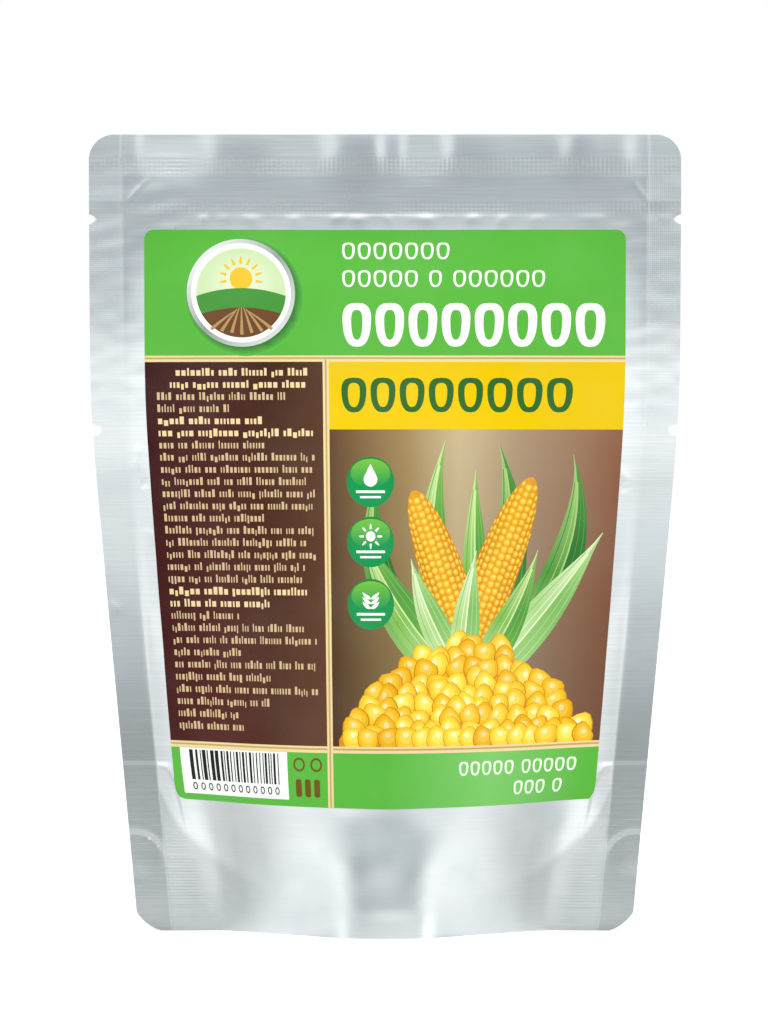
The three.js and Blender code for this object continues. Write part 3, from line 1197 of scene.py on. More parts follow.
@dataclass
class FoilPouch:
    """The pouch's three films: front, back and gusset."""

    creased: CreasedForm
    finish: FoilFinish
    knurl_bands: tuple[Point, Point] = ((178.2, 182.8), (169.2, 172.3))
    gusset_film: float = 0.1
    gusset_gap: float = 0.01
    least_half: Point = (0.02, 0.05)  # from the middle to the lower and to the upper face
    lying: float = 0.03  # height of the gusset where it lies on the ground
    landing: float = 4.0  # how sharply it comes down to there
    roof_reach: float = 40.0  # of its places on the flat film, to each side

    def masks(self, run: Array, z: Array) -> Array:
        """Where the film is hatched, knurled, ribbed and drawn smooth.

        Args:
            run: distance from the centre line along the film.
            z: height.

        Returns:
            Four masks from 0 to 1 for each place.
        """
        form = self.creased.form
        away = np.abs(run)
        fin = smoothstep(away, form.panel_half - 0.4, form.panel_half + 0.2)
        above_fold = smoothstep(z, form.gusset_height - 0.5, form.gusset_height + 0.5)
        near_fold = bell(away - 51.0, 6.0) * bell(z - 34.0, 4.5) * (z < form.seal_height(run))
        low_fin = fin * (1.0 - above_fold)
        hatch = fin * above_fold * (0.5 + 0.5 * smoothstep(z, 120.0, 160.0))
        hatch = hatch + 0.8 * near_fold + 0.45 * low_fin
        knurl = np.zeros(np.shape(run))
        for low, high in self.knurl_bands:
            knurl = knurl + smoothstep(z, low, low + 0.4) * (1.0 - smoothstep(z, high - 0.4, high))
        hatch = hatch * (1.0 - np.clip(knurl, 0.0, 1.0)) * (1.0 - smoothstep(z, 181.0, 184.0))
        sealed = (1.0 - smoothstep(z - form.seal_height(run), -3.0, 0.5)) * (away < form.panel_half)
        # Ribs, and hatch times ribs on the low side seals, also set the foil's darker tint: partly duller
        # sealed foil, partly painted shade.
        ribs = 0.9 * sealed * (1.0 - near_fold) * (0.12 + 0.88 * smoothstep(away, 33.0, 52.0))
        ribs = ribs + 0.45 * fin * (1.0 - smoothstep(z, 42.0, 72.0))
        smooth = (1.0 - smoothstep(z, 26.0, 44.0)) * (1.0 - smoothstep(away, 46.0, 58.0))
        return np.clip(np.stack([hatch, knurl, ribs, smooth], axis=-1), 0.0, 1.0)

    def panel(self, name: str, side: Side, rows: Array, columns: Array, stride: int) -> bpy.types.Object:
        """Builds the front or the back film.

        Args:
            name: the piece's name.
            side: the panel.
            rows: heights of its rows.
            columns: runs of its columns.
            stride: how many of the outer face's steps make one of the inner face's.

        Returns:
            The piece.
        """
        form = self.creased.form
        z, run = np.meshgrid(rows, columns, indexing="ij")
        run = form.to_edge(run, z)
        outer = self.creased.point(run, z, side)
        inner = self.creased.point(run, z, side, lift=-form.film)[::stride, ::stride]
        places = np.stack([run, z], axis=-1)
        sheet = SheetMesh(name, outer, inner, side is Side.BACK, places, self.masks(run, z))
        return sheet.build()

    def gusset(self) -> bpy.types.Object:
        """Builds the gusset film: up inside the front skirt, over, and down inside the back one.

        Returns:
            The piece.
        """
        columns = graded((-70.0, 0.0), (-56.0, 1.0), (56.0, 1.6), (70.0, 1.0))
        shares = np.linspace(0.0, 1.0, 22)
        turns = np.sin(np.linspace(-math.pi / 2, math.pi / 2, 61))[1:-1]
        rows = [self._gusset_wall(columns, share, Side.FRONT) for share in shares]
        rows += [self._gusset_roof(columns, float(turn)) for turn in turns]
        rows += [self._gusset_wall(columns, share, Side.BACK) for share in shares[::-1]]
        lower, upper, places = (np.stack(row) for row in zip(*rows))
        masks = np.zeros((*lower.shape[:2], 4))
        return SheetMesh("gusset_film", lower, upper, True, places, masks).build()

    def _gusset_wall(self, columns: Array, share: float, side: Side) -> tuple[Array, Array, Array]:
        """One row of the gusset where it is sealed to a skirt.

        Args:
            columns: runs of its points.
            share: height of the row, as a share of the seal's height.
            side: the skirt.

        Returns:
            The points of the lower and the upper face, and their places on the flat film.
        """
        form = self.creased.form
        z = form.seal_height(columns) * share
        run = form.to_edge(columns, z)
        middle = self._middle(run, z)
        gap = form.film + self.gusset_gap
        faces = []
        for inset, least in zip((gap + self.gusset_film, gap), self.least_half):
            points = self.creased.point(run, z, side, lift=-inset)
            across = np.maximum((points[:, 1] - middle) * side.value, least)
            points[:, 1] = middle + side.value * across
            faces.append(points)
        return faces[0], faces[1], np.stack([run, z * side.value], axis=-1)

    def _gusset_roof(self, columns: Array, turn: float) -> tuple[Array, Array, Array]:
        """One row of the gusset between the two seals.

        Args:
            columns: runs of its points.
            turn: -1 at the front skirt to 1 at the back one.

        Returns:
            The points of the lower and the upper face, and their places on the flat film.
        """
        form = self.creased.form
        roof = form.roof_height(columns, np.full(len(columns), turn))
        z = self.lying + np.logaddexp(0.0, (roof - self.lying) * self.landing) / self.landing
        z = np.minimum(z, form.gusset_height)
        run = form.to_edge(columns, z)
        inset = form.film + self.gusset_gap + self.gusset_film
        front, back = (self.creased.point(run, z, side, lift=-inset) for side in Side)
        least, upper_least = self.least_half
        half = np.maximum(least, (back[:, 1] - front[:, 1]) / 2)
        middle = (front[:, 1] + back[:, 1]) / 2
        lower = np.stack([(front[:, 0] + back[:, 0]) / 2, middle + turn * half, z], axis=-1)
        upper = lower.copy()
        upper[:, 2] += self.gusset_film
        upper[:, 1] = middle + turn * np.maximum(half, upper_least)
        return lower, upper, np.stack([run, np.full(len(run), turn * self.roof_reach)], axis=-1)

    def _middle(self, run: Array, z: Array) -> Array:
        """Y of the surface halfway between the two films."""
        return sum(sway.shift(run, z) for sway in self.creased.sways) + 0.0 * run

    def build(self, grain: bpy.types.NodeTree, marks: bpy.types.NodeTree) -> list[bpy.types.Object]:
        """Builds and dresses the pouch's films.

        Args:
            grain: the group of rolling streaks.
            marks: the group of sealing marks.

        Returns:
            The pieces.
        """
        form = self.creased.form
        fine_rows = with_rows(graded((0, 0), (46, 0.42), (160, 0.85), (188, 0.4)), form.edge_rows(), 0.12)
        fine_columns = graded((-70, 0), (-56, 0.5), (56, 0.8), (70, 0.5))
        coarse_rows = with_rows(graded((0, 0), (46, 0.7), (160, 1.3), (188, 0.6)), form.edge_rows(), 0.2)
        coarse_columns = graded((-70, 0), (-56, 0.75), (56, 1.3), (70, 0.75))
        pieces = [
            self.panel("front_film", Side.FRONT, fine_rows, odd(fine_columns), 2),
            self.panel("back_film", Side.BACK, coarse_rows, odd(coarse_columns), 2),
            self.gusset(),
        ]
        material = self.finish.material(grain, marks)
        for piece in pieces:
            piece.data.materials.append(material)
            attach(piece, BODY)
            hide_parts("pouch")
        return pieces


# ---- Ink and the shapes that are printed

@dataclass(frozen=True)
class Ink:
    """A printed colour, or a run of colours along a line or out from a point."""

    stops: tuple[tuple[float, Colour], ...]
    start: Point = (0.0, 0.0)
    end: Point = (1.0, 0.0)
    radial: bool = False
    fall: tuple[float, float, float] = (0.0, 1.0, 1.0)

    def at(self, places: Array) -> Array:
        """Colours at these places on the label.

        Args:
            places: points on the flat label.

        Returns:
            One colour for each.
        """
        offset = places - np.array(self.start)
        reach = np.array(self.end) - np.array(self.start)
        length = float(np.hypot(*reach))
        share = np.hypot(offset[:, 0], offset[:, 1]) / length if self.radial else offset @ reach / length**2
        keys = [stop[0] for stop in self.stops]
        top, foot, factor = self.fall
        down = np.clip((places[:, 1] - top) / (foot - top), 0.0, 1.0)
        shade = lerp(1.0, factor, down)
        channels = [np.interp(share, keys, [stop[1][i] for stop in self.stops]) for i in range(3)]
        return np.stack([shade * channel for channel in channels], axis=-1)


def flat(red: float, green: float, blue: float) -> Ink:
    """One plain colour."""
    return Ink(((0.0, linear(red, green, blue)),))


def ramp(start: Point, end: Point, *stops: tuple[float, Colour], fall: Colour = (0.0, 1.0, 1.0)) -> Ink:
    """Colours that run from one point to another, and change in strength from one height to another."""
    return Ink(tuple((at, linear(*colour)) for at, colour in stops), start, end, fall=fall)


def glow(centre: Point, radius: float, *stops: tuple[float, Colour]) -> Ink:
    """Colours that run outwards from a point."""
    tones = tuple((at, linear(*colour)) for at, colour in stops)
    return Ink(tones, centre, (centre[0] + radius, centre[1]), True)


def densify(outline: Array, step: float) -> Array:
    """Adds points to an outline, so that none of its sides is longer than step.

    Args:
        outline: its points in order.
        step: the longest side.

    Returns:
        The points of the finer outline.
    """
    points = []
    for start, end in zip(outline, np.roll(outline, -1, axis=0)):
        count = max(1, math.ceil(float(np.hypot(*(end - start))) / step))
        points.extend(lerp(start, end, k / count) for k in range(count))
    return np.array(points)


def placed(centre: Point, x: Array, y: Array, turn: float) -> Array:
    """Turns an outline and moves it to its place.

    Args:
        centre: where its middle goes.
        x: its points across.
        y: its points upwards.
        turn: the angle in degrees, anticlockwise.

    Returns:
        The points.
    """
    lean = math.radians(turn)
    cosine, sine = math.cos(lean), math.sin(lean)
    return np.stack([centre[0] + x * cosine - y * sine, centre[1] + x * sine + y * cosine], axis=-1)


def ring(centre: Point, radii: Point, count: int, turn: float = 0.0, power: float = 2.0) -> Array:
    """A circle, an ellipse or, with a higher power, a rounded box.

    Args:
        centre: its middle.
        radii: half its width and half its height.
        count: how many points.
        turn: the angle in degrees.
        power: 2 for an ellipse, more for a rounded box.

    Returns:
        The points, anticlockwise.
    """
    angles = np.linspace(0.0, 2 * math.pi, count, endpoint=False)
    cosine, sine = np.cos(angles), np.sin(angles)
    x = radii[0] * np.sign(cosine) * np.abs(cosine) ** (2 / power)
    y = radii[1] * np.sign(sine) * np.abs(sine) ** (2 / power)
    return placed(centre, x, y, turn)


def box(left: float, foot: float, right: float, top: float) -> Array:
    """A rectangle."""
    return np.array([(left, foot), (right, foot), (right, top), (left, top)], dtype=float)


def rounded_box(left: float, foot: float, right: float, top: float, radius: float, steps: int = 6) -> Array:
    """A rectangle with rounded corners.

    Args:
        left: where it starts across.
        foot: where it starts upwards.
        right: where it ends across.
        top: where it ends upwards.
        radius: radius of its corners.
        steps: how many steps round each corner.

    Returns:
        The points, anticlockwise.
    """
    points = []
    corners = ((right - radius, foot + radius, -90), (right - radius, top - radius, 0),
               (left + radius, top - radius, 90), (left + radius, foot + radius, 180))
    for x, y, start in corners:
        for k in range(steps + 1):
            angle = math.radians(start + 90 * k / steps)
            points.append((x + radius * math.cos(angle), y + radius * math.sin(angle)))
    return np.array(points)


def square_to(path: Array) -> Array:
    """Directions square to a path, to its left.

    Args:
        path: its points.

    Returns:
        One unit vector for each.
    """
    along = np.gradient(path, axis=0)
    along = along / np.linalg.norm(along, axis=1, keepdims=True)
    return np.stack([-along[:, 1], along[:, 0]], axis=-1)


def ribbon(path: Array, widths: Array) -> Array:
    """A band of varying width along a path."""
    across = square_to(path) * widths[:, None] / 2
    return np.vstack([path - across, (path + across)[::-1]])


def bend(start: Point, control: Point, end: Point, count: int) -> Array:
    """Points on a curve that leaves start towards control and ends at end.

    Args:
        start: its first point.
        control: the point that it first heads for.
        end: its last point.
        count: how many points.

    Returns:
        The points.
    """
    t = np.linspace(0.0, 1.0, count)[:, None]
    first, middle, last = (np.array(p, dtype=float) for p in (start, control, end))
    return (1 - t) ** 2 * first + 2 * t * (1 - t) * middle + t**2 * last


def kernel_outline(centre: Point, width: float, height: float, turn: float = 0.0, count: int = 12) -> Array:
    """The outline of a corn kernel: broad and round at the top, narrower at the foot.

    Args:
        centre: its middle.
        width: its width.
        height: its height.
        turn: the angle in degrees.
        count: how many points.

    Returns:
        The points, anticlockwise.
    """
    angles = np.linspace(0.0, 2 * math.pi, count, endpoint=False)
    cosine, sine = np.cos(angles), np.sin(angles)
    x = width / 2 * np.sign(cosine) * np.abs(cosine) ** 0.72 * (1.0 + 0.16 * sine)
    y = height / 2 * np.sign(sine) * np.abs(sine) ** 0.8
    return placed(centre, x, y, turn)


@dataclass
class PrintSheet:
    """The flat print: shapes laid over each other, cut up into triangles of one ink each."""

    outline: Array
    cell: float = 2.0
    margin: float = 1.0
    shapes: list[tuple[Array, Ink]] = field(default_factory=list)

    def lay(self, outline: Array, ink: Ink) -> None:
        """Prints a shape over what is there."""
        self.shapes.append((densify(outline, self.cell), ink))

    def cut(self) -> tuple[Array, Array, Array]:
        """Cuts the sheet along every printed outline.

        Returns:
            The points, the triangles, and the colours of the triangles' corners.
        """
        inside = self._grid()
        points, faces, start = [inside], [], len(inside)
        for outline, _ in self.shapes:
            if polygon_area(outline) < 0:
                outline = outline[::-1]
            points.append(outline)
            faces.append(list(range(start, start + len(outline))))
            start += len(outline)
        flat_points = [Vector((float(x), float(y))) for x, y in np.vstack(points)]
        made, _, triangles, _, _, owners = delaunay_2d_cdt(flat_points, [], faces, 1, 1e-5, True)
        places = np.array([tuple(p) for p in made])
        corners = np.array([list(t) for t in triangles])
        top_shape = np.array([max(owner) if owner else 0 for owner in owners])
        colours = np.zeros((len(corners) * 3, 3))
        flat_corners = places[corners.ravel()]
        shape_of_corner = np.repeat(top_shape, 3)
        for number in np.unique(top_shape):
            chosen = shape_of_corner == number
            colours[chosen] = self.shapes[number][1].at(flat_corners[chosen])
        return places, corners, colours

    def backing(self, edge: Array) -> tuple[Array, Array, Array]:
        """Cuts the plain back of the sheet, with the same points round its rim as the front.

        Args:
            edge: the front's rim points, anticlockwise.

        Returns:
            The points, the triangles, and the numbers of the rim's points.
        """
        flat_points = [Vector((float(x), float(y))) for x, y in np.vstack([edge, self._grid()])]
        rim = [list(range(len(edge)))]
        made, _, triangles, origins, _, _ = delaunay_2d_cdt(flat_points, [], rim, 1, 1e-5, True)
        numbers = {first: number for number, origin in enumerate(origins) for first in origin}
        places = np.array([tuple(p) for p in made])
        return places, np.array([list(t) for t in triangles]), np.array([numbers[k] for k in rim[0]])

    def _grid(self) -> Array:
        """Evenly spaced places, all well inside the sheet.

        Returns:
            The places.
        """
        left, foot = self.outline.min(axis=0)
        right, top = self.outline.max(axis=0)
        columns = np.arange(left + self.cell / 2, right, self.cell)
        rows = np.arange(foot + self.cell / 2, top, self.cell)
        columns = columns[(columns > left + self.margin) & (columns < right - self.margin)]
        rows = rows[(rows > foot + self.margin) & (rows < top - self.margin)]
        return np.stack(np.meshgrid(columns, rows), axis=-1).reshape(-1, 2)


def polygon_area(outline: Array) -> float:
    """Signed area of an outline, above zero where it runs anticlockwise."""
    following = np.roll(outline, -1, axis=0)
    return float(np.sum(outline[:, 0] * following[:, 1] - following[:, 0] * outline[:, 1]) / 2)


GREEN = flat(92, 182, 65)
CREAM = flat(238, 213, 160)
WHITE = flat(250, 251, 247)
DARK_GREEN = flat(48, 104, 44)
YELLOW = flat(233, 196, 6)
TAN = flat(214, 186, 142)
BLACK = flat(24, 24, 26)


FOREST_LEAF = ((44, 112, 48), (84, 150, 64), (166, 204, 120))
FRESH_LEAF = ((84, 152, 66), (124, 184, 84), (204, 228, 156))
PALE_LEAF = ((128, 184, 98), (172, 212, 136), (226, 240, 194))


@dataclass
class CornPicture:
    """A generic picture of sweet corn: two crossed cobs in their husks behind a heap of kernels."""

    sheet: PrintSheet
    seed: int = 19
    leaf_points: int = 17
    veins: tuple[tuple[float, int, float], ...] = (
        (-0.38, 1, 0.2), (-0.2, 1, 0.16), (0.16, 2, 0.2), (0.34, 0, 0.16), (0.0, 2, 0.42),
    )

    def draw(self) -> None:
        """Lays the whole picture on the sheet, from back to front."""
        self.leaf((14.0, 60.0), (-9.0, 84.0), (-1.0, 110.0), 8.5, FOREST_LEAF)
        self.leaf((28.0, 60.0), (53.0, 86.0), (46.0, 112.5), 10.0, FOREST_LEAF)
        self.leaf((17.0, 62.0), (8.0, 92.0), (15.0, 116.0), 8.5, FRESH_LEAF)
        self.leaf((27.0, 62.0), (36.0, 92.0), (28.0, 115.0), 9.0, FOREST_LEAF)
        self.leaf((24.0, 62.0), (22.0, 90.0), (22.5, 109.0), 7.0, FRESH_LEAF)
        self.cob((23.5, 62.0), (7.0, 104.0), 5.5)
        self.cob((19.0, 62.0), (36.5, 107.0), 5.8)
        self.leaf((21.0, 58.0), (1.0, 76.0), (-6.0, 95.0), 9.5, FRESH_LEAF)
        self.leaf((24.0, 58.0), (42.0, 74.0), (54.0, 94.0), 10.0, PALE_LEAF)
        self.leaf((22.0, 58.0), (10.0, 74.0), (6.5, 88.0), 8.0, PALE_LEAF)
        self.leaf((21.0, 58.0), (34.0, 72.0), (38.5, 90.0), 8.5, FRESH_LEAF)
        self.leaf((20.0, 56.0), (20.0, 74.0), (23.0, 90.0), 8.0, PALE_LEAF)
        self.heap()

    def leaf(self, root: Point, control: Point, tip: Point, width: float, tones: tuple[Colour, ...]) -> None:
        """A husk leaf: one half in shade, with a pale rib and fine veins.

        Args:
            root: where it starts.
            control: where it first heads for.
            tip: where it ends.
            width: its greatest width.
            tones: its dark, middle and light colours.
        """
        dark, middle, light = tones
        share = np.linspace(0.0, 1.0, self.leaf_points)
        path = bend(root, control, tip, self.leaf_points)
        across = square_to(path)
        belly = 0.45 + 0.55 * np.sin(math.pi * np.clip(share * 1.1, 0, 1)) ** 0.7
        widths = width * belly * (1.0 - share**3)
        widths[-1] = 0.15
        self.sheet.lay(ribbon(path, widths), ramp(root, tip, (0.0, light), (0.5, middle), (1.0, light)))
        shaded = path - across * widths[:, None] * 0.25
        shade = ramp(root, tip, (0.0, middle), (0.6, dark), (1.0, middle))
        self.sheet.lay(ribbon(shaded, widths * 0.5), shade)
        for offset, number, thick in self.veins:
            vein = (path + across * widths[:, None] * offset)[:-2]
            ink = ramp(root, tip, (0.0, light), (0.5, tones[number]), (1.0, tones[number]))
            self.sheet.lay(ribbon(vein, np.full(len(vein), thick)), ink)

    def cob(self, root: Point, tip: Point, half: float) -> None:
        """A cob whose kernels stand in rows along it and get narrower towards its sides.

        Args:
            root: the middle of its foot.
            tip: its tip.
            half: half its greatest width.
        """
        base, end = np.array(root), np.array(tip)
        length = float(np.hypot(*(end - base)))
        along = (end - base) / length
        across = np.array([along[1], -along[0]])
        turn = math.degrees(math.atan2(along[1], along[0])) - 90
        share = np.sin(np.linspace(0.0, math.pi / 2, 25))
        profile = half * (0.82 + 0.18 * np.sin(math.pi * share)) * np.sqrt(np.clip(1.0 - share**5, 0.0, 1.0))
        profile[-1] = 0.1
        edges = [tuple((base + end) / 2 + side * across * half) for side in (-1, 1)]
        ink = ramp(*edges, (0.0, (196, 112, 20)), (0.45, (232, 160, 44)), (1.0, (204, 120, 24)))
        self.sheet.lay(ribbon(base + np.outer(share * length, along), 2 * profile), ink)
        chance = np.random.default_rng(self.seed + int(length))
        pitch = 1.7
        rows = int(length / pitch)
        for i in range(rows):
            for j in range(-5, 6):
                at = (i + 0.5 + 0.25 * (j % 2)) / rows
                if at > 0.98:
                    continue
                width = float(np.interp(at, share, profile))
                angle = j * pitch / max(width, 1.5)
                if abs(angle) > math.radians(80):
                    continue
                centre = base + along * at * length + across * width * math.sin(angle) * 0.98
                size = (pitch * max(0.3, math.cos(angle)) * 0.92, pitch * 0.95)
                light = chance.uniform(-9, 7) - 16 * abs(angle)
                edge = flat(*np.clip((243 + light, 188 + light, 50 + light / 2), 0, 255))
                gleam = flat(*np.clip((252 + light / 3, 218 + light / 2, 98 + light), 0, 255))
                self.sheet.lay(kernel_outline(tuple(centre), size[0], size[1], turn, 8), edge)
                spot = centre + along * 0.08 * size[1]
                self.sheet.lay(ring(tuple(spot), (size[0] * 0.30, size[1] * 0.28), 6, turn), gleam)

    def kernel(self, centre: Point, size: Point, turn: float, light: float) -> None:
        """A loose kernel: thin shadow, warm edge, yellow body and a pale gleam, each a step lighter.

        Args:
            centre: its middle.
            size: its width and height.
            turn: the angle in degrees.
            light: how much lighter its colours are than usual.
        """
        lean = math.radians(turn)
        up = np.array([-math.sin(lean), math.cos(lean)]) * size[1]
        tones = ((212, 146, 34), (244, 194, 44), (250, 208, 58), (254, 222, 92), (255, 243, 176))
        steps = ((1.0, 0.0), (0.93, 0.02), (0.76, 0.05), (0.52, 0.08), (0.22, 0.14))
        for (red, green, blue), (scale, lift) in zip(tones, steps):
            middle = np.array(centre) + up * lift + np.array([-0.3, 0.4]) * lift * size[0]
            ink = flat(*np.clip((red + light / 2, green + light, blue + light), 0, 255))
            self.sheet.lay(kernel_outline(tuple(middle), size[0] * scale, size[1] * scale, turn, 12), ink)

    def heap(self) -> None:
        """A heap of loose kernels, the far ones first."""
        chance = np.random.default_rng(self.seed)
        crest = (
            (-13.0, 47.0), (-7.0, 55.0), (4.0, 63.0), (16.0, 69.0), (30.0, 68.0), (45.0, 57.0), (54.0, 47.0),
        )
        runs = np.linspace(-12.0, 55.0, 30)
        tops = np.interp(runs, *zip(*crest)) - 1.6
        ground = np.vstack([np.stack([runs, tops], axis=-1), [(55.0, 44.4), (-12.0, 44.4)]])
        ink = ramp((20.0, 44.0), (20.0, 66.0), (0.0, (214, 142, 34)), (1.0, (236, 176, 52)))
        self.sheet.lay(ground, ink)
        spots = []
        for level in np.arange(-3.0, 20.0, 2.8):
            for place in np.arange(-12.0, 55.0, 4.3):
                across = place + chance.uniform(-1.3, 1.3)
                up = max(46.7, 65.0 - level + chance.uniform(-1.0, 1.0))
                if up < np.interp(across, *zip(*crest)) and -11.0 < across < 54.0:
                    spots.append((across, up))
        spots.sort(key=lambda spot: -spot[1])
        for spot in spots:
            size = (chance.uniform(5.0, 6.8), chance.uniform(4.8, 6.2))
            self.kernel(spot, size, chance.uniform(-70, 70), chance.uniform(-30, 14))


@dataclass
class LabelPrint:
    """Everything printed on the label: fields of colour, stripes, marks in place of words, and a picture."""

    sheet: PrintSheet
    half: float = 57.0
    foot: float = 31.4
    top: float = 165.6
    split_run: float = -14.4
    panel_foot: float = 44.4
    panel_top: float = 135.0
    band_foot: float = 118.3
    seed: int = 4

    def draw(self) -> None:
        """Lays the whole print on the sheet."""
        self.fields()
        CornPicture(self.sheet).draw()
        self.stripes()
        self.emblem()
        self.titles()
        self.small_print()
        self.badges()
        self.bar_stripes()
        self.footer()

    def fields(self) -> None:
        """The green ground, the brown text field, the picture's ground and the yellow band."""
        self.sheet.lay(self.sheet.outline, GREEN)
        brown = ramp(
            (-self.half + 0.4, 90.0), (self.split_run, 90.0),
            (0.0, (58, 20, 20)), (0.35, (72, 36, 32)), (0.65, (68, 38, 26)), (1.0, (84, 55, 38)),
            fall=(self.panel_top, self.panel_foot, 1.4),
        )
        self.sheet.lay(box(-self.half, self.panel_foot, self.split_run, self.panel_top), brown)
        tan = ramp(
            (self.split_run, 80.0), (self.half, 80.0),
            (0.0, (92, 64, 44)), (0.28, (158, 133, 88)), (0.46, (198, 178, 138)),
            (0.66, (168, 144, 116)), (1.0, (140, 94, 70)),
            fall=(self.band_foot, self.panel_foot, 0.62),
        )
        self.sheet.lay(box(self.split_run, self.panel_foot, self.half, self.band_foot), tan)
        self.sheet.lay(box(self.split_run, self.band_foot, self.half, self.panel_top), YELLOW)

    def stripes(self) -> None:
        """The fine cream and gold stripes between the fields."""
        gold = flat(190, 166, 96)
        for z in (self.panel_top, self.panel_foot):
            self.sheet.lay(box(-self.half, z - 0.75, self.half, z + 0.75), CREAM)
            self.sheet.lay(box(-self.half, z - 0.1, self.half, z + 0.3), gold)
        x = self.split_run
        self.sheet.lay(box(x - 0.75, self.foot, x + 0.75, self.panel_top - 0.75), CREAM)
        self.sheet.lay(box(x - 0.21, self.foot, x + 0.21, self.panel_top - 0.2), gold)

    def emblem(self) -> None:
        """A white roundel in a silver rim, with a plain sun over a ploughed field."""
        u, z = -34.3, 150.6
        below = (u + 0.8, z - 0.8)
        shadow = glow(below, 14.2, (0.0, (54, 118, 52)), (0.88, (58, 124, 54)), (1.0, (96, 189, 73)))
        self.sheet.lay(ring(below, (14.2, 14.2), 56), shadow)
        silver = ((0.0, (232, 234, 232)), (0.5, (150, 158, 156)), (1.0, (214, 218, 216)))
        rim = ramp((u - 9, z + 9), (u + 9, z - 9), *silver)
        self.sheet.lay(ring((u, z), (12.8, 12.8), 56), rim)
        self.sheet.lay(ring((u, z), (11.8, 11.8), 56), WHITE)
        sky = glow((u, z + 1.0), 9.0, (0.0, (236, 244, 214)), (1.0, (206, 228, 178)))
        self.sheet.lay(ring((u, z), (10.6, 10.6), 48), sky)
        sun = flat(240, 196, 52)
        self.sheet.lay(ring((u, z + 3.4), (2.7, 2.7), 24), sun)
        self.rays((u, z + 3.4), range(-10, 191, 25), (3.5, 5.2), (0.75, 0.6, 0.3), sun)
        angles = np.linspace(math.radians(184), math.radians(356), 30)
        rim_arc = np.stack([u + 10.6 * np.cos(angles), z + 10.6 * np.sin(angles)], axis=-1)
        hill = bend(tuple(rim_arc[-1]), (u, z + 3.0), tuple(rim_arc[0]), 16)[1:-1]
        self.sheet.lay(np.vstack([rim_arc, hill]), flat(74, 150, 62))
        low_arc = np.stack([u + 10.6 * np.cos(angles[4:-4]), z + 10.6 * np.sin(angles[4:-4])], axis=-1)
        field_edge = bend(tuple(low_arc[-1]), (u, z - 2.0), tuple(low_arc[0]), 16)[1:-1]
        self.sheet.lay(np.vstack([low_arc, field_edge]), flat(112, 76, 48))
        for k in range(-3, 4):
            far, near = (u + 0.5 * k, z - 3.4 - 0.1 * k * k), (u + 2.4 * k, z - 9.9 + 0.42 * abs(k))
            furrow = bend(far, (u + 1.4 * k, z - 6.0), near, 8)
            self.sheet.lay(ribbon(furrow, np.linspace(0.2, 0.8, 8)), flat(186, 150, 100))

    def rays(
        self, centre: Point, degrees: Sequence[float], reach: Point, widths: Sequence[float], ink: Ink
    ) -> None:
        """Short rays round a sun.

        Args:
            centre: the sun's middle.
            degrees: the direction of each ray.
            reach: where the rays start and end, measured from the middle.
            widths: their width at three points along them.
            ink: their colour.
        """
        for degree in degrees:
            angle = math.radians(degree)
            direction = np.array([math.cos(angle), math.sin(angle)])
            path = np.array([centre]) + np.outer(np.linspace(*reach, len(widths)), direction)
            self.sheet.lay(ribbon(path, np.array(widths)), ink)

    def kernel_row(
        self, start: float, z: float, count: int, size: Point, gap: float, ink: Ink, inside: Ink,
        stroke: float = 0.57,
    ) -> float:
        """A row of plain kernel outlines in place of a word.

        Args:
            start: where the row starts.
            z: height of its middle.
            count: how many kernels.
            size: width and height of one.
            gap: space between two.
            ink: their colour.
            inside: colour of the middle of each.
            stroke: how thick the outline is.

        Returns:
            Where the row ends.
        """
        for k in range(count):
            centre = (start + size[0] / 2 + k * (size[0] + gap), z)
            self.sheet.lay(kernel_outline(centre, size[0], size[1], 0.0, 24), ink)
            hollow = kernel_outline(centre, size[0] - 2 * stroke, size[1] - 1.6 * stroke, 0.0, 20)
            self.sheet.lay(hollow, inside)
        return start + count * (size[0] + gap)

    def titles(self) -> None:
        """Rows of kernel shapes in place of the titles: thin, big and dark ones."""
        self.kernel_row(-10.2, 160.6, 7, (3.0, 4.0), 0.75, WHITE, GREEN)
        end = self.kernel_row(-10.2, 154.0, 5, (3.0, 4.0), 0.75, WHITE, GREEN)
        end = self.kernel_row(end + 2.0, 154.0, 1, (3.0, 4.0), 0.75, WHITE, GREEN)
        self.kernel_row(end + 2.0, 154.0, 6, (3.0, 4.0), 0.75, WHITE, GREEN)
        self.kernel_row(-10.2, 143.0, 8, (6.8, 10.4), 1.15, WHITE, GREEN, 2.05)
        self.kernel_row(-10.6, 126.4, 8, (6.0, 8.2), 1.1, DARK_GREEN, YELLOW, 1.55)

    def small_print(self) -> None:
        """Lines of tiny upright blocks in place of the small print."""
        chance = np.random.default_rng(self.seed)
        z = 131.0
        for line in range(30):
            bold = line in (0, 1, 4, 5, 18, 19)
            centred = line < 2
            left = -54.4 + {0: 4.4, 1: 3.0}.get(line, 0.0)
            right = -18.6
            if not centred:
                right = -17.3 - chance.choice([0.0, 2.0, 6.0, 12.0, 20.0], p=[0.3, 0.2, 0.2, 0.2, 0.1])
            self.tick_line(chance, (left, right), z, 0.44 if bold else 0.28, CREAM if bold else TAN)
            z -= 2.86

    def tick_line(self, chance: np.random.Generator, span: Point, z: float, stroke: float, ink: Ink) -> None:
        """One line of blocks, in groups as words are.

        Args:
            chance: where its random draws come from.
            span: where it starts and ends.
            z: height of its foot.
            stroke: width of its narrowest block.
            ink: its colour.
        """
        place = span[0]
        while place < span[1]:
            letters = int(chance.integers(3, 10))
            for _ in range(letters):
                width = chance.choice([stroke, stroke * 1.4, stroke * 2.2])
                height = 1.3 if chance.random() < 0.75 else 1.8
                foot = z - (0.4 if chance.random() < 0.1 else 0.0)
                if place + width > span[1]:
                    return
                self.sheet.lay(box(place, foot, place + width, foot + height), ink)
                place += width + 0.36
            place += 0.8

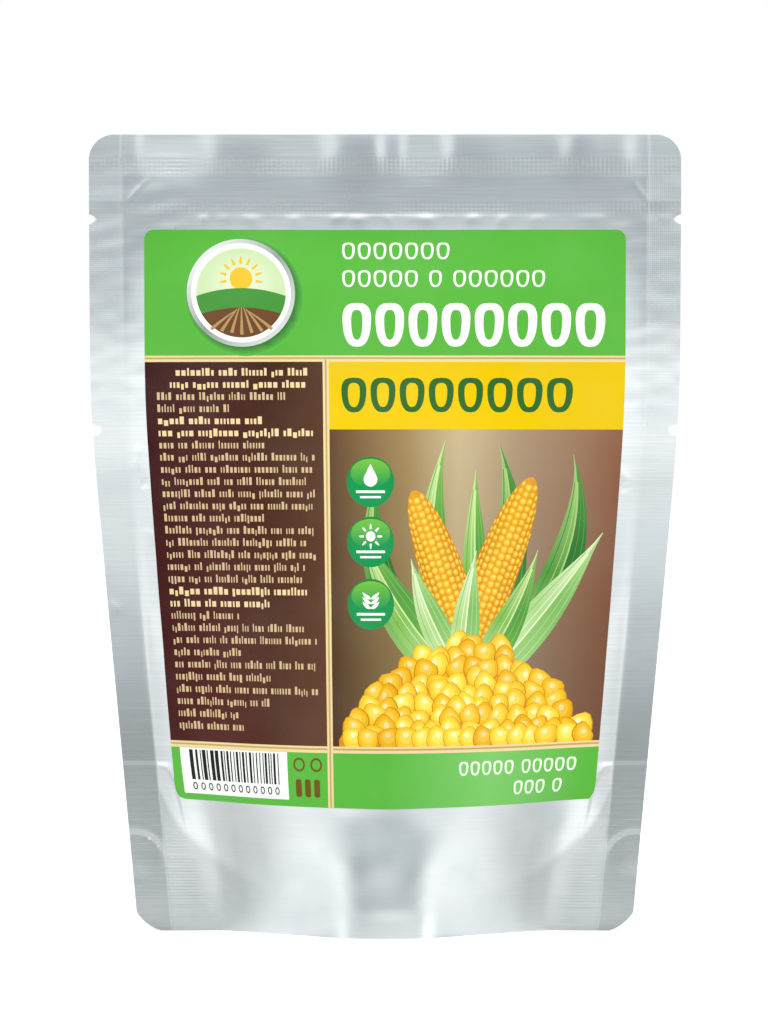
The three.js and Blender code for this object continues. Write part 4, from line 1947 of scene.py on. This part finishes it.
    def badges(self) -> None:
        """Three green discs with a drop, a sun and a sprig, each over two bars."""
        u = -3.6
        for z in (106.0, 92.0, 77.5):
            disc = glow((u, z - 1.0), 7.2, (0.0, (16, 150, 80)), (0.75, (24, 146, 78)), (1.0, (30, 124, 58)))
            self.sheet.lay(ring((u, z), (5.9, 5.9), 40), disc)
            sheen = ramp((u, z - 1.0), (u, z + 5.4), (0.0, (20, 150, 80)), (1.0, (116, 192, 66)))
            self.sheet.lay(ring((u, z + 2.0), (4.9, 3.4), 30), sheen)
            self.sheet.lay(box(u - 3.6, z - 2.6, u + 3.6, z - 2.0), WHITE)
            self.sheet.lay(box(u - 2.6, z - 3.8, u + 2.6, z - 3.3), WHITE)
        belly = ring((u, 106.6), (1.7, 1.7), 24)
        self.sheet.lay(np.vstack([belly[10:], belly[:3], [(u, 110.2)]]), WHITE)
        self.sheet.lay(ring((u, 93.3), (1.2, 1.2), 16), WHITE)
        self.rays((u, 93.3), range(0, 360, 45), (1.7, 2.9), (0.5, 0.5, 0.3), WHITE)
        for side in (-1, 1):
            for k in range(3):
                root = (u, 76.6 + 1.1 * k)
                path = bend(root, (u + side * 1.2, root[1] + 0.3), (u + side * 2.1, root[1] + 1.5), 6)
                self.sheet.lay(ribbon(path, np.array([0.2, 0.7, 0.9, 0.8, 0.5, 0.1])), WHITE)

    def bar_stripes(self) -> None:
        """A white field with plain upright stripes, which spell nothing."""
        self.sheet.lay(box(-54.9, 32.9, -26.0, 43.6), WHITE)
        chance = np.random.default_rng(self.seed + 9)
        place = -52.6
        while place < -28.2:
            width = float(chance.choice([0.28, 0.34, 0.6, 0.95], p=[0.4, 0.25, 0.2, 0.15]))
            self.sheet.lay(box(place, 36.2, place + width, 43.2), BLACK)
            place += width + float(chance.choice([0.3, 0.4, 0.6]))
        for k in range(12):
            centre = (-52.0 + 2.08 * k, 34.7)
            self.sheet.lay(ring(centre, (0.62, 0.9), 12), BLACK)
            self.sheet.lay(ring(centre, (0.34, 0.6), 10), WHITE)

    def footer(self) -> None:
        """A paler glow on the footer, plain brown marks, and two rows of kernel outlines."""
        tones = ((0.0, (92, 182, 65)), (0.5, (126, 200, 106)), (1.0, (92, 182, 65)))
        pale = ramp((0.0, 38.0), (56.0, 38.0), *tones)
        self.sheet.lay(box(0.0, self.foot, 56.0, self.panel_foot - 0.75), pale)
        brown = flat(112, 84, 30)
        radius = 1.6
        for u in (-22.8, -18.2):
            self.sheet.lay(ring((u, 40.9), (radius, radius), 20), brown)
            self.sheet.lay(ring((u, 40.9), (radius - 0.5, radius - 0.5), 18), GREEN)
        for k in range(3):
            self.sheet.lay(rounded_box(-23.9 + 2.5 * k, 33.6, -22.3 + 2.5 * k, 37.6, 0.5, 3), brown)
        pale_ink = flat(236, 247, 226)
        end = self.kernel_row(19.6, 40.0, 5, (2.5, 3.2), 0.6, pale_ink, flat(122, 203, 99))
        self.kernel_row(end + 1.6, 40.0, 5, (2.5, 3.2), 0.6, pale_ink, flat(112, 196, 88))
        end = self.kernel_row(35.0, 35.2, 3, (2.5, 3.2), 0.6, pale_ink, flat(118, 200, 95))
        self.kernel_row(end + 1.6, 35.2, 1, (2.5, 3.2), 0.6, pale_ink, flat(108, 193, 83))


@dataclass
class Label:
    """The printed label on the front film."""

    creased: CreasedForm
    finish: PrintedFinish
    width: float = 114.0
    foot: float = 31.4
    top: float = 165.6
    corner: float = 2.3
    dip_depth: float = 1.2
    dip_height: float = 34.0
    drawn_in: float = 0.125
    lift: float = 0.24
    thickness: float = 0.16
    paper: Colour = linear(240, 240, 236)

    def point(self, places: Array, lift: float) -> Array:
        """Where a place on the flat label lies on the pouch.

        Args:
            places: points on the flat label.
            lift: distance off the front film's bare form.

        Returns:
            The points, one row of three each.
        """
        u, z = places[:, 0], places[:, 1]
        inward = 1.0 - (2 * u / self.width) ** 2
        dip = self.dip_depth * np.maximum(0.0, 1.0 - (z - self.foot) / self.dip_height)
        drawn = self.drawn_in * (self.top - z) / (self.top - self.foot)
        return self.creased.point(u * (1.0 - drawn * inward), z - dip * inward, Side.FRONT, lift)

    def normals(self, places: Array) -> Array:
        """The direction square to the label at these places, to the front.

        Args:
            places: points on the flat label.

        Returns:
            Unit vectors, one row of three each.
        """
        reach = 0.3
        right, up = np.array([reach, 0.0]), np.array([0.0, reach])
        across = self.point(places + right, self.lift) - self.point(places - right, self.lift)
        along = self.point(places + up, self.lift) - self.point(places - up, self.lift)
        normal = np.cross(across, along)
        return normal / np.linalg.norm(normal, axis=1, keepdims=True)

    def build(self, grain: bpy.types.NodeTree) -> bpy.types.Object:
        """Builds and dresses the label.

        Args:
            grain: the group of rolling streaks.

        Returns:
            The piece.
        """
        half = self.width / 2
        sheet = PrintSheet(rounded_box(-half, self.foot, half, self.top, self.corner))
        LabelPrint(sheet, half, self.foot, self.top).draw()
        places, triangles, inks = sheet.cut()
        loop = self._loop(triangles)
        back_places, back, back_loop = sheet.backing(places[loop])
        front_points = self.point(places, self.lift)
        back_points = self.point(back_places, self.lift - self.thickness)
        points = np.vstack([front_points, back_points])
        back = back[:, ::-1] + len(places)
        back_loop = back_loop + len(places)
        after, back_after = np.roll(loop, -1), np.roll(back_loop, -1)
        walls = np.stack([after, loop, back_loop, back_after], axis=1)
        faces = [*triangles.tolist(), *back.tolist(), *walls.tolist()]
        piece, corners = smooth_piece("label_sheet", points, faces, np.vstack([places, back_places]))
        mesh = piece.data
        colours = np.ones((len(corners), 4), dtype=np.float32)
        colours[:, :3] = self.paper
        colours[: len(inks), :3] = inks
        mesh.color_attributes.new(INK, "FLOAT_COLOR", "CORNER").data.foreach_set("color", colours.ravel())
        normals = self.normals(places)
        given = np.vstack([normals, -self.normals(back_places)])[corners]
        outward = np.cross(points[after] - points[loop], normals[loop])
        outward = outward / np.linalg.norm(outward, axis=1, keepdims=True)
        given[-4 * len(loop):] = np.repeat(outward, 4, axis=0)
        mesh.normals_split_custom_set(given.tolist())
        mesh.materials.append(self.finish.material(grain))
        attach(piece, BODY)
        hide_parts("label")
        return piece

    @staticmethod
    def _loop(triangles: Array) -> Array:
        """Point numbers round the rim, anticlockwise, from the edges that only one triangle has.

        Args:
            triangles: three point numbers each.

        Returns:
            The rim's point numbers in order.
        """
        edges = np.vstack([triangles[:, [0, 1]], triangles[:, [1, 2]], triangles[:, [2, 0]]])
        keys = np.sort(edges, axis=1)
        _, first, counts = np.unique(keys, axis=0, return_index=True, return_counts=True)
        following = dict(edges[first[counts == 1]].tolist())
        loop = [min(following)]
        while following[loop[-1]] != loop[0]:
            loop.append(following[loop[-1]])
        return np.array(loop)


# ---- Camera, floor and light

@dataclass(frozen=True)
class Softbox:
    """A plain rectangular studio light."""

    name: str
    radiance: float
    size: Point
    place: tuple[float, float, float]
    aim: tuple[float, float, float] = (0.0, 0.0, 0.09)

    def build(self) -> None:
        """Puts the light in its place."""
        data = bpy.data.lights.new(self.name, "AREA")
        data.shape = "RECTANGLE"
        data.size, data.size_y = self.size
        data.energy = self.radiance * math.pi * self.size[0] * self.size[1]
        lamp = bpy.data.objects.new(self.name, data)
        lamp.location = self.place
        lamp.rotation_euler = (Vector(self.aim) - Vector(self.place)).to_track_quat("-Z", "Y").to_euler()
        bpy.context.scene.collection.objects.link(lamp)


@dataclass(frozen=True)
class Studio:
    """The camera of the photograph, a pale floor and soft light."""

    camera_place: tuple[float, float, float] = (-0.00024, -1.762, 0.125)
    aim_height: float = 0.0988
    sensor: float = 36.0
    seen_width: float = 0.1816
    floor_half: float = 6.0
    floor_seen: Point = (0.86, 0.89)
    floor_lit: Point = (0.50, 0.91)
    floor_dim: Colour = (0.265, 0.29, 0.305)
    floor_glow: float = 0.16
    sky_dim: Colour = (0.49, 0.565, 0.585)
    sky_bright: Colour = (0.69, 0.725, 0.735)
    sky_top: Point = (1.24, 1.06)
    softboxes: tuple[Softbox, ...] = (
        Softbox("soft_top", 1.3, (1.8, 1.0), (0.0, -1.05, 1.4)),
        Softbox("soft_left", 0.8, (0.8, 1.3), (-1.5, -0.55, 0.6)),
        Softbox("soft_right", 0.8, (0.8, 1.3), (1.5, -0.55, 0.6)),
    )

    def build(self) -> None:
        """Sets up the whole studio."""
        self.camera()
        self.floor()
        self.world()
        for softbox in self.softboxes:
            softbox.build()
        bpy.context.scene.view_settings.view_transform = "Standard"

    def camera(self) -> None:
        """The camera at the photograph's angle: nearly level, far away."""
        data = bpy.data.cameras.new("camera")
        data.sensor_fit = "HORIZONTAL"
        data.sensor_width = self.sensor
        distance = -self.camera_place[1]
        data.lens = self.sensor * distance / self.seen_width
        data.clip_end = 50.0
        camera = bpy.data.objects.new("camera", data)
        camera.location = self.camera_place
        drop = math.atan2(self.camera_place[2] - self.aim_height, distance)
        camera.rotation_euler = (math.pi / 2 - drop, 0.0, 0.0)
        bpy.context.scene.collection.objects.link(camera)
        bpy.context.scene.camera = camera

    def floor(self) -> None:
        """A wide floor: pale to the camera, and for the light on the foil brightest to both sides ahead."""
        half = self.floor_half
        mesh = bpy.data.meshes.new("studio_floor")
        corners = [(-half, -half, 0), (half, -half, 0), (half, half, 0), (-half, half, 0)]
        mesh.from_pydata(corners, [], [[0, 1, 2, 3]])
        floor = bpy.data.objects.new("studio_floor", mesh)
        bpy.context.scene.collection.objects.link(floor)
        material, nodes, shader = blank_material("pale_floor")
        place = nodes.add("ShaderNodeTexCoord").outputs["Object"]
        grain = nodes.noise(place, 90.0, 3.0)
        shade = nodes.map_range(grain, (0.3, 0.7), (0.0, 1.0))
        pale = nodes.mix(shade, *(grey(tone) for tone in self.floor_seen))
        seen = nodes.add("ShaderNodeLightPath").outputs["Is Camera Ray"]
        across, along, _ = nodes.split(place)
        along = nodes.math("SUBTRACT", along, 0.03)
        share = self.ahead(nodes, across, along)
        forward = nodes.map_range(share, (0.50, 0.72), (0.0, 1.0), SOFT)
        lit = nodes.mix(forward, *(grey(tone) for tone in self.floor_lit))
        wide = nodes.map_range(nodes.math("ABSOLUTE", across), (0.20, 0.32), (0.9, 0.0), SOFT)
        patch = nodes.times(wide, nodes.map_range(along, (-0.19, -0.14), (1.0, 0.0), SOFT))
        dim = nodes.math("MAXIMUM", self.dimness(nodes, share, (0.90, 0.99)), patch)
        lit = nodes.mix(dim, lit, (*self.floor_dim, 1.0))
        nodes.feed(shader.inputs["Base Color"], nodes.mix(seen, lit, pale))
        nodes.feed(shader.inputs["Emission Strength"], nodes.times(seen, self.floor_glow))
        shader.inputs["Emission Color"].default_value = grey(1.0)
        shader.inputs["Roughness"].default_value = 0.6
        shader.inputs["Specular IOR Level"].default_value = 0.0
        mesh.materials.append(material)

    @staticmethod
    def ahead(nodes: Nodes, across: Socket, along: Socket) -> Socket:
        """Cosine of the level angle between a direction and the way to the front.

        Args:
            nodes: the tree.
            across: the direction's X.
            along: the direction's Y.

        Returns:
            The cosine.
        """
        squares = [nodes.times(part, part) for part in (across, along)]
        level = nodes.math("SQRT", nodes.plus(*squares))
        return nodes.math("DIVIDE", nodes.times(along, -1.0), level)

    @staticmethod
    def dimness(nodes: Nodes, share: Socket, ahead: Point) -> Socket:
        """How dim the studio is that way, 0 to 1: dim ahead and behind, bright on both sides.

        Args:
            nodes: the tree.
            share: cosine of the level angle to the front.
            ahead: the cosines between which it gets dim.

        Returns:
            The dimness.
        """
        front = nodes.map_range(share, ahead, (0.0, 1.0), SOFT)
        back = nodes.map_range(share, (-0.62, -0.15), (0.9, 0.0), SOFT)
        return nodes.plus(front, back)

    def world(self) -> None:
        """White to the camera. As light, bright above and on both sides, and dimmer low ahead and behind."""
        world = bpy.data.worlds.new("studio_light")
        bpy.context.scene.world = world
        world.use_nodes = True
        nodes = Nodes(world.node_tree)
        background = world.node_tree.nodes["Background"]
        output = world.node_tree.nodes["World Output"]
        direction = nodes.add("ShaderNodeTexCoord").outputs["Generated"]
        across, along, up = nodes.split(direction)
        low = nodes.map_range(up, (0.05, 0.16), (1.0, 0.0), SOFT)
        high = nodes.map_range(up, (0.13, 0.27), (0.0, 1.0), SOFT)
        share = self.ahead(nodes, across, along)
        straight = nodes.map_range(share, (0.93, 0.99), (0.0, 1.0), SOFT)
        top = nodes.mix(straight, *(grey(tone) for tone in self.sky_top))
        bright = nodes.mix(high, (*self.sky_bright, 1.0), top)
        dim = nodes.times(self.dimness(nodes, share, (0.75, 0.965)), low)
        nodes.feed(background.inputs["Color"], nodes.mix(dim, bright, (*self.sky_dim, 1.0)))
        white = nodes.add("ShaderNodeBackground", {"Color": grey(1.0)}).outputs[0]
        seen = nodes.add("ShaderNodeLightPath").outputs["Is Camera Ray"]
        switch = nodes.add("ShaderNodeMixShader", {0: seen, 1: background.outputs[0], 2: white})
        nodes.feed(output.inputs["Surface"], switch.outputs[0])


def main() -> None:
    """Builds the studio, the pouch's films and the label, in that order."""
    logging.basicConfig(level=logging.INFO, format="%(message)s")
    Studio().build()
    grain = rolled_grain()
    form = PouchForm()
    sways = [FinLean(), LipWaves(), PunchPress(PunchDish(form))]
    creased = CreasedForm(form, front_reliefs(form), back_reliefs(form), sways)
    pieces = FoilPouch(creased, FoilFinish()).build(grain, sealing_marks())
    pieces.append(Label(creased, PrintedFinish()).build(grain))
    for piece in pieces:
        log.info("%s: %d faces", piece.name, len(piece.data.polygons))


if __name__ == "__main__":
    main()
